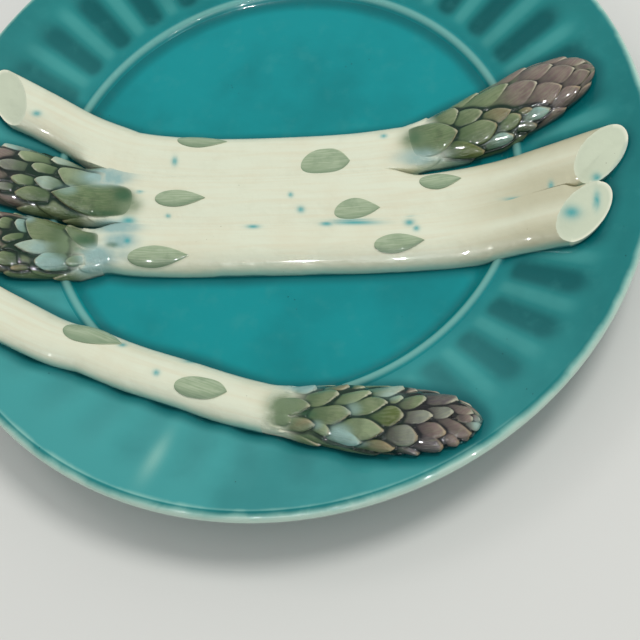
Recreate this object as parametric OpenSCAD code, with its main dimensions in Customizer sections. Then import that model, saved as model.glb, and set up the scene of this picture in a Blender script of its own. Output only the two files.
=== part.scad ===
// Round earthenware asparagus plate with moulded spears. +X runs along the spears, +Y to the far
// side of the plate, +Z up. The origin is on the table plane, under the middle of the plate.

/* [Dish] */
// Radius of the plate over its lip
plate_radius = 125; // [115:1:140]
// Height of the lip above the table
plate_height = 25.5; // [23:0.5:32]
// Wall of the dish, also the diameter of its rounded lip
dish_wall = 4.8; // [4:0.1:6]
// Rise from the well floor to the foot of the rim
well_step = 2.2; // [1.5:0.1:3.5]
// Width of the cove between the well floor and the foot of the rim
cove_width = 4.5; // [3:0.1:8]

/* [Foot ring] */
// Outer radius of the ring that the plate stands on
foot_radius = 72; // [60:1:74]
// Height of the foot ring
foot_height = 4.2; // [3:0.1:6]
// Width of the foot ring where it stands
foot_width = 4.5; // [3:0.1:7]
// Fall of each side of the foot ring
foot_draft = 0.8; // [0:0.1:1.5]

/* [Bead] */
// Radius of the bead round the well
bead_radius = 82; // [78:0.5:88]
// Width of the bead
bead_width = 3; // [2:0.1:4]
// Height of the bead over the rim at its foot
bead_rise = 1.1; // [0.6:0.1:2]
// Space between the bead and a spear that crosses it
bead_clearance = 0.8; // [0.3:0.1:2]

/* [Flutes] */
// Number of flutes round the rim
flute_count = 38; // [24:1:48]
// Depth of a flute at its middle
flute_depth = 0.9; // [0.4:0.1:1.2]
// Width of a flute at its middle
flute_width = 12.5; // [8:0.5:13]
// Plain band between the flutes and the lip
flute_margin = 5; // [4:0.5:12]
// Plain band between the bead and the flutes
flute_lead = 2.5; // [1:0.5:8]

/* [Spears] */
// Half width of a stem
stem_radius = 9; // [8:0.1:9.5]
// Height of a stem over the plate
stem_rise = 8; // [6:0.1:10]
// Half width of a tip at its widest, over its scales
tip_radius = 12.6; // [11.5:0.1:13]
// Height of a tip over the plate, over its scales
tip_rise = 10.2; // [8:0.1:12]
// Height at which two stems of the bunch meet in their groove
groove_rise = 6.8; // [4:0.1:7.5]
// Height of the upright edge of a stem or tip where it meets the plate
edge_rise = 0.8; // [0.4:0.1:1.5]
// Space between two neighbouring stems of the bunch
stem_gap = 0.3; // [0.2:0.05:0.6]
// Length along the plate of the slanted oval cut at the butt of a stem
cut_run = 15; // [6:0.5:18]
// How much farther out the far edge of that cut lies than its near edge
cut_skew = 10; // [0:0.5:12]
// Length over which the sides of a stem grow upright towards its cut
butt_run = 30; // [10:1:50]
// Rim between the lip and the relief of the spears
relief_margin = 8; // [6:0.5:12]

/* [Scales and bracts] */
// Rows of scales on a tip
scale_rows = 8; // [5:1:9]
// Thickness of a scale at its free point
scale_thickness = 1.4; // [0.9:0.1:1.8]
// Thickness of a scale at its root
root_thickness = 0.5; // [0.3:0.05:0.7]
// Crown of a scale over a flat one
scale_crown = 0.5; // [0.2:0.1:0.8]
// Clear joint between neighbouring scales
scale_joint = 0.4; // [0.2:0.05:0.6]
// Thickness of a bract at its middle
bract_thickness = 1; // [0.6:0.1:1.4]
// Thickness of a bract at its border
bract_border = 0.4; // [0.2:0.1:0.6]

/* [Seats] */
// Layer of glaze between a moulded piece and what carries it
seat_gap = 0.12; // [0.05:0.01:0.25]

/* [Hidden] */
glaze_teal = "#2e8786";
glaze_cream = "#d6d8bd";
glaze_sage = "#7d9072";
glaze_bract = "#93a687";
glaze_mauve = "#6f6a66";

// Section of the dish: well floor, cove, straight rim and half-round lip
well_z = foot_height + dish_wall;
rim_foot_r = bead_radius - bead_width / 2;
rim_foot_z = well_z + well_step;
lip_r = dish_wall / 2;
lip_centre = [plate_radius - lip_r, plate_height - lip_r];
lip_reach = norm([lip_centre.x - rim_foot_r, lip_centre.y - rim_foot_z]);
rim_angle = atan2(lip_centre.y - rim_foot_z, lip_centre.x - rim_foot_r) + asin(lip_r / lip_reach);

function mix(a, b, t) = a + (b - a) * t;
function clamp(t) = min(1, max(0, t));
function rim_z(r) = rim_foot_z + (r - rim_foot_r) * tan(rim_angle);
function cove_z(r) = well_z + well_step * pow(clamp((r - rim_foot_r + cove_width) / cove_width), 2);
function dish_z(r) = r < rim_foot_r ? cove_z(r) : rim_z(r);
function seat_z(x, y) = dish_z(norm([x, y])) + seat_gap;

// Level that the moulded pieces rise from: it climbs to the rim over the width of a stem, not in the cove
rise_width = 2 * stem_radius;
function level_z(x, y) = let (r = norm([x, y]), t = clamp((r - rim_foot_r + rise_width) / rise_width))
    seat_gap + (r < rim_foot_r ? well_z + well_step * t * t : rim_z(r));

// Cubic through rows of [x, y] that are in order of x, with the slope of each row taken from its neighbours
function row_slope(rows, i) = let (a = max(0, i - 1), b = min(len(rows) - 1, i + 1))
    (rows[b].y - rows[a].y) / (rows[b].x - rows[a].x);
function row_below(rows, x, i) = i < len(rows) - 2 && x > rows[i + 1].x ? row_below(rows, x, i + 1) : i;
function within(x, low, high) = min(max(x, low), high);
function along(rows, at) = let (x = within(at, rows[0].x, rows[len(rows) - 1].x), i = row_below(rows, x, 0),
    p = rows[i], q = rows[i + 1], step = q.x - p.x, t = (x - p.x) / step, rest = 1 - t)
    p.y * (1 + 2 * t) * rest * rest + row_slope(rows, i) * step * t * rest * rest
    + q.y * t * t * (3 - 2 * t) - row_slope(rows, i + 1) * step * t * t * rest;

// Each spear: where it begins, where stem and tip join and where the tip ends, as shares of the plate radius
upper_end_shares = [-0.864, 0.35, 0.862];
middle_end_shares = [0.925, -0.45, -0.93];
lower_end_shares = [0.878, -0.475, -0.915];
side_end_shares = [-0.79, 0.02, 0.568];

// Half width of each stem along the plate, x as a share of the plate radius, width as a share of stem_radius
upper_width_shares = [[-0.864, 1.03], [-0.35, 1.04], [0.35, 1.04]];
middle_width_shares = [[-0.45, 1.02], [0, 1.01], [0.4, 1.04], [0.7, 1.07], [0.925, 1.05]];
lower_width_shares = [[-0.475, 0.93], [0, 0.9], [0.3, 0.91], [0.64, 1], [0.878, 1.15]];
side_width_shares = [[-0.79, 0.97], [-0.4, 0.96], [0.02, 0.98]];

// Sideways place of each spear: the middle one in stem radii from the plate's middle, its neighbours as shares of
// the distance at which they just touch it, the side one as a share of the way from the bunch to the lip
middle_place_shares = [[-0.93, 0.42], [-0.78, 0.14], [-0.65, -0.2], [-0.52, -0.66], [-0.4, -1], [-0.25, -1.13],
    [0, -1.15], [0.25, -1.1], [0.42, -0.94], [0.58, -0.62], [0.7, -0.38], [0.82, -0.23], [0.925, -0.14]];
upper_place_shares = [[-0.864, 1.42], [-0.74, 1.27], [-0.61, 1.15], [-0.48, 1.14], [-0.35, 1.09], [-0.19, 1.02],
    [0, 1], [0.19, 1.01], [0.35, 1.07], [0.46, 1.09], [0.58, 1.2], [0.72, 1.38], [0.862, 1.58]];
lower_place_shares = [[-0.915, 1.2], [-0.8, 1.08], [-0.67, 1.02], [-0.52, 1.01], [-0.4, 1], [0, 1], [0.5, 1],
    [0.878, 1.02]];
side_place_shares = [[-0.79, 0.487], [-0.68, 0.428], [-0.536, 0.459], [-0.378, 0.483], [-0.218, 0.518],
    [-0.06, 0.579], [0.024, 0.612], [0.112, 0.641], [0.248, 0.702], [0.384, 0.794], [0.48, 0.887], [0.568, 0.992]];

// Share of a tip over which it swells to its full width, before its rounded nose
swell_share = 0.55;
function way(ends, x) = (x / plate_radius - ends[1]) / (ends[2] - ends[1]);
function swell(v) = sin(90 * clamp(v / swell_share));
function nose(v) = v <= swell_share ? 1 : sqrt(1 - pow(clamp((v - swell_share) / (1 - swell_share)), 2));
function full_half(spear, x) =
    mix(along(spear[1], x / plate_radius) * stem_radius, tip_radius, swell(way(spear[0], x)));

// Sideways place of each spear's centre line at x
function middle_y(x) = along(middle_place_shares, x / plate_radius) * stem_radius;
function beside_y(spear, x, side) = middle_y(x) + side * along(spear[2], x / plate_radius)
    * (full_half(spear, x) + full_half(middle, x) + stem_gap);
function bunch_foot_y(x) = centre_y(lower, x) - full_half(lower, x);
function relief_y(x) = -sqrt(pow(plate_radius - relief_margin, 2) - x * x);
function centre_y(spear, x) = spear[3] == "middle" ? middle_y(x)
    : spear[3] == "upper" ? beside_y(spear, x, 1)
    : spear[3] == "lower" ? beside_y(spear, x, -1)
    : mix(bunch_foot_y(x), relief_y(x), along(spear[2], x / plate_radius));

upper = [upper_end_shares, upper_width_shares, upper_place_shares, "upper"];
middle = [middle_end_shares, middle_width_shares, middle_place_shares, "middle"];
lower = [lower_end_shares, lower_width_shares, lower_place_shares, "lower"];
side = [side_end_shares, side_width_shares, side_place_shares, "side"];

// The groove between two stems is filled, and opens before either tip begins, over a share of the tip's length, and
// where the upper spear bends away from the middle one, between these shares of the distance at which they touch
fade_share = 0.2;
part_shares = [1.16, 1.22];
function upper_place(x) = along(upper_place_shares, x / plate_radius);
function parting(x) = clamp((part_shares[1] - upper_place(x)) / (part_shares[1] - part_shares[0]));
function on_stem(spear, x) = clamp(-way(spear[0], x) / fade_share);
function upper_groove(x) = parting(x) * on_stem(upper, x) * on_stem(middle, x);
function lower_groove(x) = on_stem(lower, x) * on_stem(middle, x);
function groove(spear, x, far) =
    spear[3] == "upper" ? (far ? 0 : upper_groove(x))
    : spear[3] == "middle" ? (far ? upper_groove(x) : lower_groove(x))
    : spear[3] == "lower" && far ? lower_groove(x) : 0;
function beyond_cut(spear, x) = abs(x - spear[0][0] * plate_radius) - cut_run / 2;
function open_edge(spear, x) = mix(stem_rise / 2, edge_rise, clamp(beyond_cut(spear, x) / butt_run));
function edge_at(spear, x, far) = mix(open_edge(spear, x), groove_rise, groove(spear, x, far));

// Point of a spear's surface at x, at an angle from 0 at its near edge over 90 at its crest to 180 at its far
// edge, raised by lift
heading_step = stem_radius / 4;
function low_end(spear) = min(spear[0]) * plate_radius;
function high_end(spear) = max(spear[0]) * plate_radius;
function heading(spear, x) = let (a = within(x - heading_step, low_end(spear), high_end(spear) - heading_step),
    b = within(x + heading_step, low_end(spear) + heading_step, high_end(spear)))
    atan2(centre_y(spear, b) - centre_y(spear, a), b - a);
function half_at(spear, x) = full_half(spear, x) * nose(way(spear[0], x));

// Where the groove beside the upper spear is filled, each side of it also takes this share of what lies between
fill_share = 0.4;
function between(x) = (upper_place(x) - 1) * (full_half(upper, x) + full_half(middle, x) + stem_gap);
function by_upper(spear, far) = far ? spear[3] == "middle" : spear[3] == "upper";
function side_half(spear, x, far) = half_at(spear, x)
    + (by_upper(spear, far) ? upper_groove(x) * fill_share * max(0, between(x)) : 0);
function rise_at(spear, x) = mix(stem_rise, tip_rise, swell(way(spear[0], x))) * nose(way(spear[0], x));
function across(spear, x, offset) = let (a = heading(spear, x))
    [x - sin(a) * offset, centre_y(spear, x) + cos(a) * offset];
function edge_z(spear, x, offset) = let (p = across(spear, x, offset)) level_z(p.x, p.y);
function skin(spear, x, angle, lift) =
    let (near = max(seat_gap, side_half(spear, x, false) + lift), t = (1 - cos(angle)) / 2,
        beyond = max(seat_gap, side_half(spear, x, true) + lift),
        p = across(spear, x, -cos(angle) * (angle < 90 ? near : beyond)),
        base = mix(edge_z(spear, x, -near), edge_z(spear, x, beyond), t),
        foot = mix(edge_at(spear, x, false), edge_at(spear, x, true), t) * nose(way(spear[0], x)))
    [p.x, p.y, base + foot + max(0, rise_at(spear, x) + lift - foot) * sin(angle)];
function sole(spear, x, angle, lift) =
    let (half = max(seat_gap, side_half(spear, x, angle > 90) + lift), p = across(spear, x, -cos(angle) * half))
    [p.x, p.y, seat_z(p.x, p.y)];

// Angles of a ring over a spear: its two edges, and between them the lines on which the scales meet
edge_angle = 6;
scale_columns = 3;
scale_angle = (180 - 2 * edge_angle) / scale_columns / 2;
ring_angles = concat([0], [for (i = [0:2 * scale_columns]) edge_angle + i * scale_angle], [180]);
sole_steps = 6;
ring_size = len(ring_angles) + sole_steps + 1;
crest_hub = (len(ring_angles) - 1) / 2;
function spear_ring(spear, x, cut, skew, lift) = concat(
    [for (angle = ring_angles) skin(spear, x + cut * sin(angle) - skew * cos(angle), angle, lift)],
    [for (j = [0:sole_steps]) let (angle = 180 * (1 - j / sole_steps))
        sole(spear, x - cut * sin(angle) - skew * cos(angle), angle, lift)]);

// Faces of a closed solid made of rings of points, with one point of each end ring as the hub of its end
function ring_faces(rings, size, hub) = let (top = (rings - 1) * size) concat(
    [for (j = [0:size - 1]) if (j != hub && (j + 1) % size != hub) [hub, (j + 1) % size, j]],
    [for (i = [0:rings - 2], j = [0:size - 1]) let (a = i * size + j, b = i * size + (j + 1) % size)
        each [[a, b, b + size], [a, b + size, a + size]]],
    [for (j = [0:size - 1]) if (j != hub && (j + 1) % size != hub) [top + hub, top + j, top + (j + 1) % size]]);

// Stem from the slanted cut at its butt, an oval whose upper half leans inwards and whose lower half lies on the
// plate, to the plane in which it meets its tip
stem_step_share = 0.6;
module stem(spear) {
    butt = spear[0][0] * plate_radius;
    join = spear[0][1] * plate_radius;
    steps = round(abs(join - butt) / (stem_radius * stem_step_share));
    lean = sign(join - butt) * cut_run / 2;
    skew = sign(butt - join) * cut_skew / 2;
    shares = [for (i = [0:steps]) butt < join ? i / steps : 1 - i / steps];
    polyhedron([for (s = shares)
            each spear_ring(spear, mix(butt + lean, join, s), lean * (1 - s), skew * (1 - s), 0)],
        ring_faces(steps + 1, ring_size, crest_hub));
}

// Rows of scales close up towards the end of the tip
row_power = 1.6;
tip_end_share = 0.985;
function row_way(row) = row < 0 ? 0 : tip_end_share * (1 - pow(1 - (row + 1) / scale_rows, row_power));
function way_x(spear, v) = mix(spear[0][1], spear[0][2], v) * plate_radius;
function core_lift(v) = -scale_thickness * clamp(v / row_way(0));

// Core of a tip, a scale's thickness under the tip's own surface
module tip_core(spear) {
    facing = spear[0][2] > spear[0][1];
    join_way = seat_gap / (plate_radius * abs(spear[0][2] - spear[0][1]));
    ways = [for (i = [-1:scale_rows - 1]) max(join_way, row_way(facing ? i : scale_rows - 2 - i))];
    polyhedron([for (v = ways) each spear_ring(spear, way_x(spear, v), 0, 0, core_lift(v))],
        ring_faces(len(ways), ring_size, crest_hub));
}

// Faces of a leaf: a hub under it, rings out to its border below, rings back in above, and a hub on top. The rings
// run clockwise as seen from above.
function leaf_faces(size, rings) = let (last = (rings - 1) * size + 1, top = rings * size + 1) concat(
    [for (j = [0:size - 1]) [0, 1 + (j + 1) % size, 1 + j]],
    [for (i = [0:rings - 2], j = [0:size - 1]) let (a = 1 + i * size + j, b = 1 + i * size + (j + 1) % size)
        each [[a, b, b + size], [a, b + size, a + size]]],
    [for (j = [0:size - 1]) [top, last + j, last + (j + 1) % size]]);

// Leaf on a spear from border rows [x, angle, thickness] and a hub row, on a skin that lies at floor lift
function leaf_skin(spear, p, floor, thick) = skin(spear, p[0], p[1], floor(p[0]) + seat_gap + thick);
module leaf(spear, border, hub, crown, shares, floor) {
    inner = [for (s = shares, p = border) mix(hub, p, s)];
    size = len(border);
    low = [for (p = inner) leaf_skin(spear, p, floor, 0)];
    high = [for (i = [len(shares) - 1:-1:0], j = [0:size - 1]) let (p = mix(hub, border[j], shares[i]))
        leaf_skin(spear, p, floor, p[2] + crown * (1 - shares[i] * shares[i]))];
    polyhedron(concat([leaf_skin(spear, hub, floor, 0)], low, high, [leaf_skin(spear, hub, floor, hub[2] + crown)]),
        leaf_faces(size, 2 * len(shares)));
}

// Scale of a row, spread on one or both sides of the line at angle mid. It reaches from the fork between two
// scales of the row before, along their free edges to its wings, and on to its own point.
edge_belly = 0.62;
arc_steps = 3;
border_shares = [1];
half_hub_share = 0.42;
scale_shrink = 1 - scale_joint / (tip_radius * scale_angle * PI / 180);
function scale_side(spear, row, mid, turn) = let (fork = row_way(row - 2), wing = row_way(row - 1),
    tip = row_way(row), n = arc_steps)
    concat([for (i = [0:n - 1]) let (t = i / n) [way_x(spear, mix(fork, wing, pow(t, edge_belly))),
            mid + turn * scale_angle * t, mix(root_thickness, scale_thickness, t / 2)]],
        [for (i = [0:n]) let (t = i / n) [way_x(spear, mix(wing, tip, pow(t, edge_belly))),
            mid + turn * scale_angle * (1 - t), mix(root_thickness, scale_thickness, (1 + t) / 2)]]);
function turned(list) = [for (i = [len(list) - 1:-1:0]) list[i]];
function inside(list) = [for (i = [1:len(list) - 2]) list[i]];
function shrunk(border, hub) = [for (p = border) mix(hub, p, scale_shrink)];
module scale_leaf(spear, row, mid, turns) {
    facing = spear[0][2] > spear[0][1];
    far = scale_side(spear, row, mid, 1);
    near = scale_side(spear, row, mid, -1);
    clockwise = len(turns) == 2 ? concat(far, turned(inside(near))) : turns[0] == 1 ? far : turned(near);
    mean = mix(root_thickness, scale_thickness, 1 / 2);
    middle_way = max(row_way(row - 1), (row_way(row - 2) + row_way(row)) / 2);
    hub = len(turns) == 2 ? [way_x(spear, middle_way), mid, mean]
        : [way_x(spear, mix(middle_way, row_way(row), half_hub_share)), mid + turns[0] * scale_angle * half_hub_share,
            mean];
    border = shrunk(facing ? clockwise : turned(clockwise), hub);
    leaf(spear, border, hub, scale_crown, border_shares, function (x) core_lift(way(spear[0], x)));
}
module scales(spear) {
    for (row = [0:scale_rows - 1], column = [0:2 * scale_columns])
        if ((row + column) % 2 == 1) {
            mid = edge_angle + column * scale_angle;
            turns = column == 0 ? [1] : column == 2 * scale_columns ? [-1] : [1, -1];
            scale_leaf(spear, row, mid, turns);
        }
}

// Bracts on the stems, rounded at their left end and pointed at their right. Each row: middle along the plate, half
// length, both as shares of the plate radius, then middle and half width over the stem as shares of a half turn.
upper_bract_shares = [[-0.23, 0.072, 0.67, 0.15], [0.134, 0.068, 0.32, 0.17]];
middle_bract_shares = [[-0.272, 0.07, 0.5, 0.12], [0.232, 0.06, 0.27, 0.15], [0.448, 0.058, 0.57, 0.08]];
lower_bract_shares = [[-0.32, 0.086, 0.31, 0.15], [0.347, 0.066, 0.42, 0.16]];
side_bract_shares = [[-0.47, 0.077, 0.69, 0.2], [-0.15, 0.072, 0.46, 0.19]];
bract_steps = 6;
bract_belly = 0.75;
inner_shares = [0.55, 1];
function bract_side(row, turn) = [for (i = [0:bract_steps]) let (t = i / bract_steps)
    [(row[0] + row[1] * (2 * t - 1)) * plate_radius, 180 * (row[2] + turn * row[3] * sin(180 * pow(t, bract_belly))),
        bract_border]];
module bracts(spear, rows) {
    for (row = rows)
        leaf(spear, concat(bract_side(row, 1), turned(inside(bract_side(row, -1)))),
            [row[0] * plate_radius, 180 * row[2], bract_border], bract_thickness - bract_border, inner_shares,
            function (x) 0);
}

// Dish with its flutes
lip_steps = 12;
cove_steps = 6;
under_tangent = lip_centre + lip_r * [sin(rim_angle), -cos(rim_angle)];
under_r = under_tangent.x - (under_tangent.y - foot_height) / tan(rim_angle);
dish_outline = concat([[0, foot_height], [under_r, foot_height]],
    [for (i = [0:lip_steps]) let (a = rim_angle - 90 + 180 * i / lip_steps)
        lip_centre + lip_r * [cos(a), sin(a)]],
    [for (i = [cove_steps:-1:0]) let (r = rim_foot_r - cove_width * (1 - i / cove_steps)) [r, cove_z(r)]],
    [[0, well_z]]);
flute_outer_r = lip_centre.x - lip_r * sin(rim_angle) - flute_margin;
flute_inner_r = bead_radius + bead_width / 2 + flute_lead;
flute_r = (flute_inner_r + flute_outer_r) / 2;
flute_length = (flute_outer_r - flute_inner_r) / cos(rim_angle);
flute_round = (flute_width * flute_width / 4 + flute_depth * flute_depth) / (2 * flute_depth);
module flute() {
    translate([flute_r, 0, rim_z(flute_r)]) rotate([0, -rim_angle, 0])
        translate([-flute_length / 2, 0, flute_round - flute_depth]) rotate([0, 90, 0])
            cylinder(h = flute_length, r = flute_round, $fn = 60);
}
module plate_dish() {
    color(glaze_teal) difference() {
        rotate_extrude($fn = 120) polygon(dish_outline);
        for (i = [0:flute_count - 1]) rotate([0, 0, 360 * (i + 0.5) / flute_count]) flute();
    }
}

function under_z(r) = foot_height + max(0, r - under_r) * tan(rim_angle);
function under(r) = [r, under_z(r)];
foot_inner = foot_radius - foot_width - 2 * foot_draft;
module foot_ring() {
    color(glaze_teal) rotate_extrude($fn = 120)
        polygon(concat([[foot_radius - foot_draft, 0], under(foot_radius)],
            under_r > foot_inner && under_r < foot_radius ? [under(under_r)] : [],
            [under(foot_inner), [foot_inner + foot_draft, 0]]));
}

// Angle at which the edge of a spear crosses the bead, on the side that sign gives
function edge_y(spear, x, far) = centre_y(spear, x) + (far ? 1 : -1) * full_half(spear, x);
function crossing_x(spear, far, sign, x, tries) = tries == 0 ? x : crossing_x(spear, far, sign,
    sign * sqrt(max(0, bead_radius * bead_radius - pow(edge_y(spear, x, far), 2))), tries - 1);
crossing_tries = 8;
function crossing(spear, far, sign) = let (x = crossing_x(spear, far, sign, sign * bead_radius, crossing_tries),
    a = atan2(edge_y(spear, x, far), x)) a < 0 ? a + 360 : a;
bead_margin = bead_clearance / bead_radius * 180 / PI;
bead_spans = [[crossing(upper, true, 1), crossing(upper, true, -1)],
    [crossing(lower, false, -1), crossing(side, true, -1)],
    [crossing(side, true, 1), crossing(lower, false, 1)]];
bead_steps = 8;
function on_rim(r) = [r, rim_z(r)];
module well_bead() {
    color(glaze_teal) for (span = bead_spans)
        rotate([0, 0, span[0] + bead_margin])
            rotate_extrude(angle = span[1] - span[0] - 2 * bead_margin, $fn = 120)
                polygon([for (i = [0:bead_steps]) let (t = i / bead_steps)
                    on_rim(rim_foot_r + bead_width * t)
                        + bead_rise * sin(180 * t) * [-sin(rim_angle), cos(rim_angle)]]);
}

module upper_stem() { color(glaze_cream) stem(upper); }
module upper_tip() { color(glaze_sage) tip_core(upper); }
module upper_scales() { color(glaze_mauve) scales(upper); }
module upper_bracts() { color(glaze_bract) bracts(upper, upper_bract_shares); }
module middle_stem() { color(glaze_cream) stem(middle); }
module middle_tip() { color(glaze_sage) tip_core(middle); }
module middle_scales() { color(glaze_mauve) scales(middle); }
module middle_bracts() { color(glaze_bract) bracts(middle, middle_bract_shares); }
module lower_stem() { color(glaze_cream) stem(lower); }
module lower_tip() { color(glaze_sage) tip_core(lower); }
module lower_scales() { color(glaze_mauve) scales(lower); }
module lower_bracts() { color(glaze_bract) bracts(lower, lower_bract_shares); }
module side_stem() { color(glaze_cream) stem(side); }
module side_tip() { color(glaze_sage) tip_core(side); }
module side_scales() { color(glaze_mauve) scales(side); }
module side_bracts() { color(glaze_bract) bracts(side, side_bract_shares); }

plate_dish();
foot_ring();
well_bead();
upper_stem();
upper_tip();
upper_scales();
upper_bracts();
middle_stem();
middle_tip();
middle_scales();
middle_bracts();
lower_stem();
lower_tip();
lower_scales();
lower_bracts();
side_stem();
side_tip();
side_scales();
side_bracts();
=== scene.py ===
import bpy
import bmesh
import math
import numpy as np
from mathutils import Matrix, Vector


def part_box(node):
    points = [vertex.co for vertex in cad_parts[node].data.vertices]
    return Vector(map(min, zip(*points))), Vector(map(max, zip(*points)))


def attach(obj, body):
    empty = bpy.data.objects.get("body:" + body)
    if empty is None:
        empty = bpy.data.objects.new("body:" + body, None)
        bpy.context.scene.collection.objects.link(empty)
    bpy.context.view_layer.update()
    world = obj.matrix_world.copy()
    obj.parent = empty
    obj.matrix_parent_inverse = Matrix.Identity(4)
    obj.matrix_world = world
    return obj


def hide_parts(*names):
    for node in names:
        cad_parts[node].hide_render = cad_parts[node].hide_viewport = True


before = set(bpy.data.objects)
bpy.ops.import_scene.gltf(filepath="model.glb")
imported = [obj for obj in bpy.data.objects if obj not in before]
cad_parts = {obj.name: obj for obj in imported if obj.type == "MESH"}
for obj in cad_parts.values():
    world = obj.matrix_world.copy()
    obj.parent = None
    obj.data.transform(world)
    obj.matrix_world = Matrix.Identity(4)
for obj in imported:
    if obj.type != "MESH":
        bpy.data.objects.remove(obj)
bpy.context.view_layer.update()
mm = 0.001
tiny = 1e-12
print("frame loaded")

# Camera, as fitted to the curve of the rim and of the bead in the photo. Millimetres, degrees and pixels
camera = {
    "azimuth": 22, "elevation": 63.3, "roll": -20.5, "lens": 67.5, "sensor": 36, "distance": 417,
    "aimHeight": 12, "aimPixel": (280, 180), "pictureSize": 640, "clipEnd": 20,
}


def turnAbout(angle, x, y):
    c, s = math.cos(math.radians(angle)), math.sin(math.radians(angle))
    return np.array([x * c - y * s, x * s + y * c])


def cameraFrame():
    c, s = turnAbout(camera["elevation"], 1, 0)
    cr, sr = turnAbout(camera["roll"], 1, 0)
    away = turnAbout(camera["azimuth"], 0, 1)
    level = np.array([*turnAbout(camera["azimuth"], 1, 0), 0])
    forward, steep = np.array([*away * c, -s]), np.array([*away * s, c])
    right, up = cr * level + sr * steep, cr * steep - sr * level
    focal = camera["lens"] / camera["sensor"] * camera["pictureSize"]
    middle = camera["pictureSize"] / 2
    aside, above = (camera["aimPixel"][0] - middle) / focal, (middle - camera["aimPixel"][1]) / focal
    aimed = np.array([0, 0, camera["aimHeight"]])
    place = aimed - camera["distance"] * (forward + aside * right + above * up)
    return place, right, up, forward, focal, middle


def pixelOf(points):  # where the camera sees points of the plate
    place, right, up, forward, focal, middle = cameraFrame()
    seen = points - place
    depth = seen @ forward
    x, y = middle + focal * (seen @ right) / depth, middle - focal * (seen @ up) / depth
    return np.stack([x, y, depth], -1)


def makeCamera():
    place, right, up, forward, focal, middle = cameraFrame()
    data = bpy.data.cameras.new("camera")
    data.lens = camera["lens"]
    data.sensor_width = camera["sensor"]
    data.clip_end = camera["clipEnd"]
    viewer = bpy.data.objects.new("camera", data)
    turned = Matrix((right, up, -forward)).transposed()
    viewer.matrix_world = Matrix.Translation(Vector(place * mm)) @ turned.to_4x4()
    bpy.context.scene.collection.objects.link(viewer)
    bpy.context.scene.camera = viewer


makeCamera()
print("camera placed")


def mix(a, b, t):
    return a + (b - a) * t


def clamp(t):
    return np.clip(t, 0, 1)


def ease(t):
    t = clamp(t)
    return t * t * (3 - 2 * t)


def smooth(x, start, end):  # from 0 at the start to 1 at the end
    return ease((x - start) / (end - start))


def curveThrough(rows):  # cubic through rows of (x, y), flat beyond its ends
    xs, ys = np.array(rows, float).T
    last = len(rows) - 1
    before, after = np.maximum(np.arange(last + 1) - 1, 0), np.minimum(np.arange(last + 1) + 1, last)
    slopes = (ys[after] - ys[before]) / (xs[after] - xs[before])

    def at(x):
        x = np.clip(x, xs[0], xs[-1])
        i = np.clip(np.searchsorted(xs, x, side="right") - 1, 0, last - 1)
        step = xs[i + 1] - xs[i]
        t = (x - xs[i]) / step
        rest = 1 - t
        return (ys[i] * (1 + 2 * t) * rest ** 2 + slopes[i] * step * t * rest ** 2
                + ys[i + 1] * t ** 2 * (3 - 2 * t) - slopes[i + 1] * step * t ** 2 * rest)
    return at


# Sizes of the dish, the outer ones from the frame
dishLow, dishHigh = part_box("plate_dish")
footLow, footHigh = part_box("foot_ring")
dish = {
    "radius": (dishHigh.x - dishLow.x) / 2 / mm, "height": dishHigh.z / mm,
    "wall": 4.8, "footHeight": 4.2, "wellStep": 2.2, "coveWidth": 4.5,
    "footRadius": (footHigh.x - footLow.x) / 2 / mm, "footWidth": 4.5, "footDraft": 0.8, "footLean": 0.1,
    "footLift": 0.02, "innerStep": 4, "innerRings": 8, "rounding": 0.5, "beadRadius": 82, "beadWidth": 3,
    "around": 640, "wellRings": 62, "coveRings": 9, "rimRings": 46, "lipRings": 16, "underRings": 10,
    "flutes": 38, "fluteDepth": 1.0, "fluteTurn": -1.1, "fluteInner": (84, 90), "fluteOuter": (107, 120),
    "plainTone": 0.4, "faintTurn": 235, "faintSpan": (0.5, 1), "faintShare": 0.35,
    # Painted light: the rim is laid paler on the side whose slope faces the light; the same mask widens the
    # worn lip band there
    "paleSpan": (0.35, 0.95), "paleShare": 0.75,
    # Painted sheen: a pale streak across the near rim
    "paintedSheen": {"turn": 254, "radius": 108, "width": 0.022, "length": 8, "share": 0.55},
}
wellZ = dish["footHeight"] + dish["wall"]
rimFootR = dish["beadRadius"] - dish["beadWidth"] / 2
rimFootZ = wellZ + dish["wellStep"]
lipR = dish["wall"] / 2
lipCentre = np.array([dish["radius"] - lipR, dish["height"] - lipR])
lipReach = math.hypot(lipCentre[0] - rimFootR, lipCentre[1] - rimFootZ)
rimAngle = math.atan2(lipCentre[1] - rimFootZ, lipCentre[0] - rimFootR) + math.asin(lipR / lipReach)


def rimZ(r):
    return rimFootZ + (r - rimFootR) * math.tan(rimAngle)


def risingZ(r, width):  # height of the well, which climbs to the rim over a width
    t = clamp((r - rimFootR + width) / width)
    return np.where(r < rimFootR, wellZ + dish["wellStep"] * t ** 2, rimZ(r))


def dishZ(r):
    return risingZ(r, dish["coveWidth"])


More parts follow.
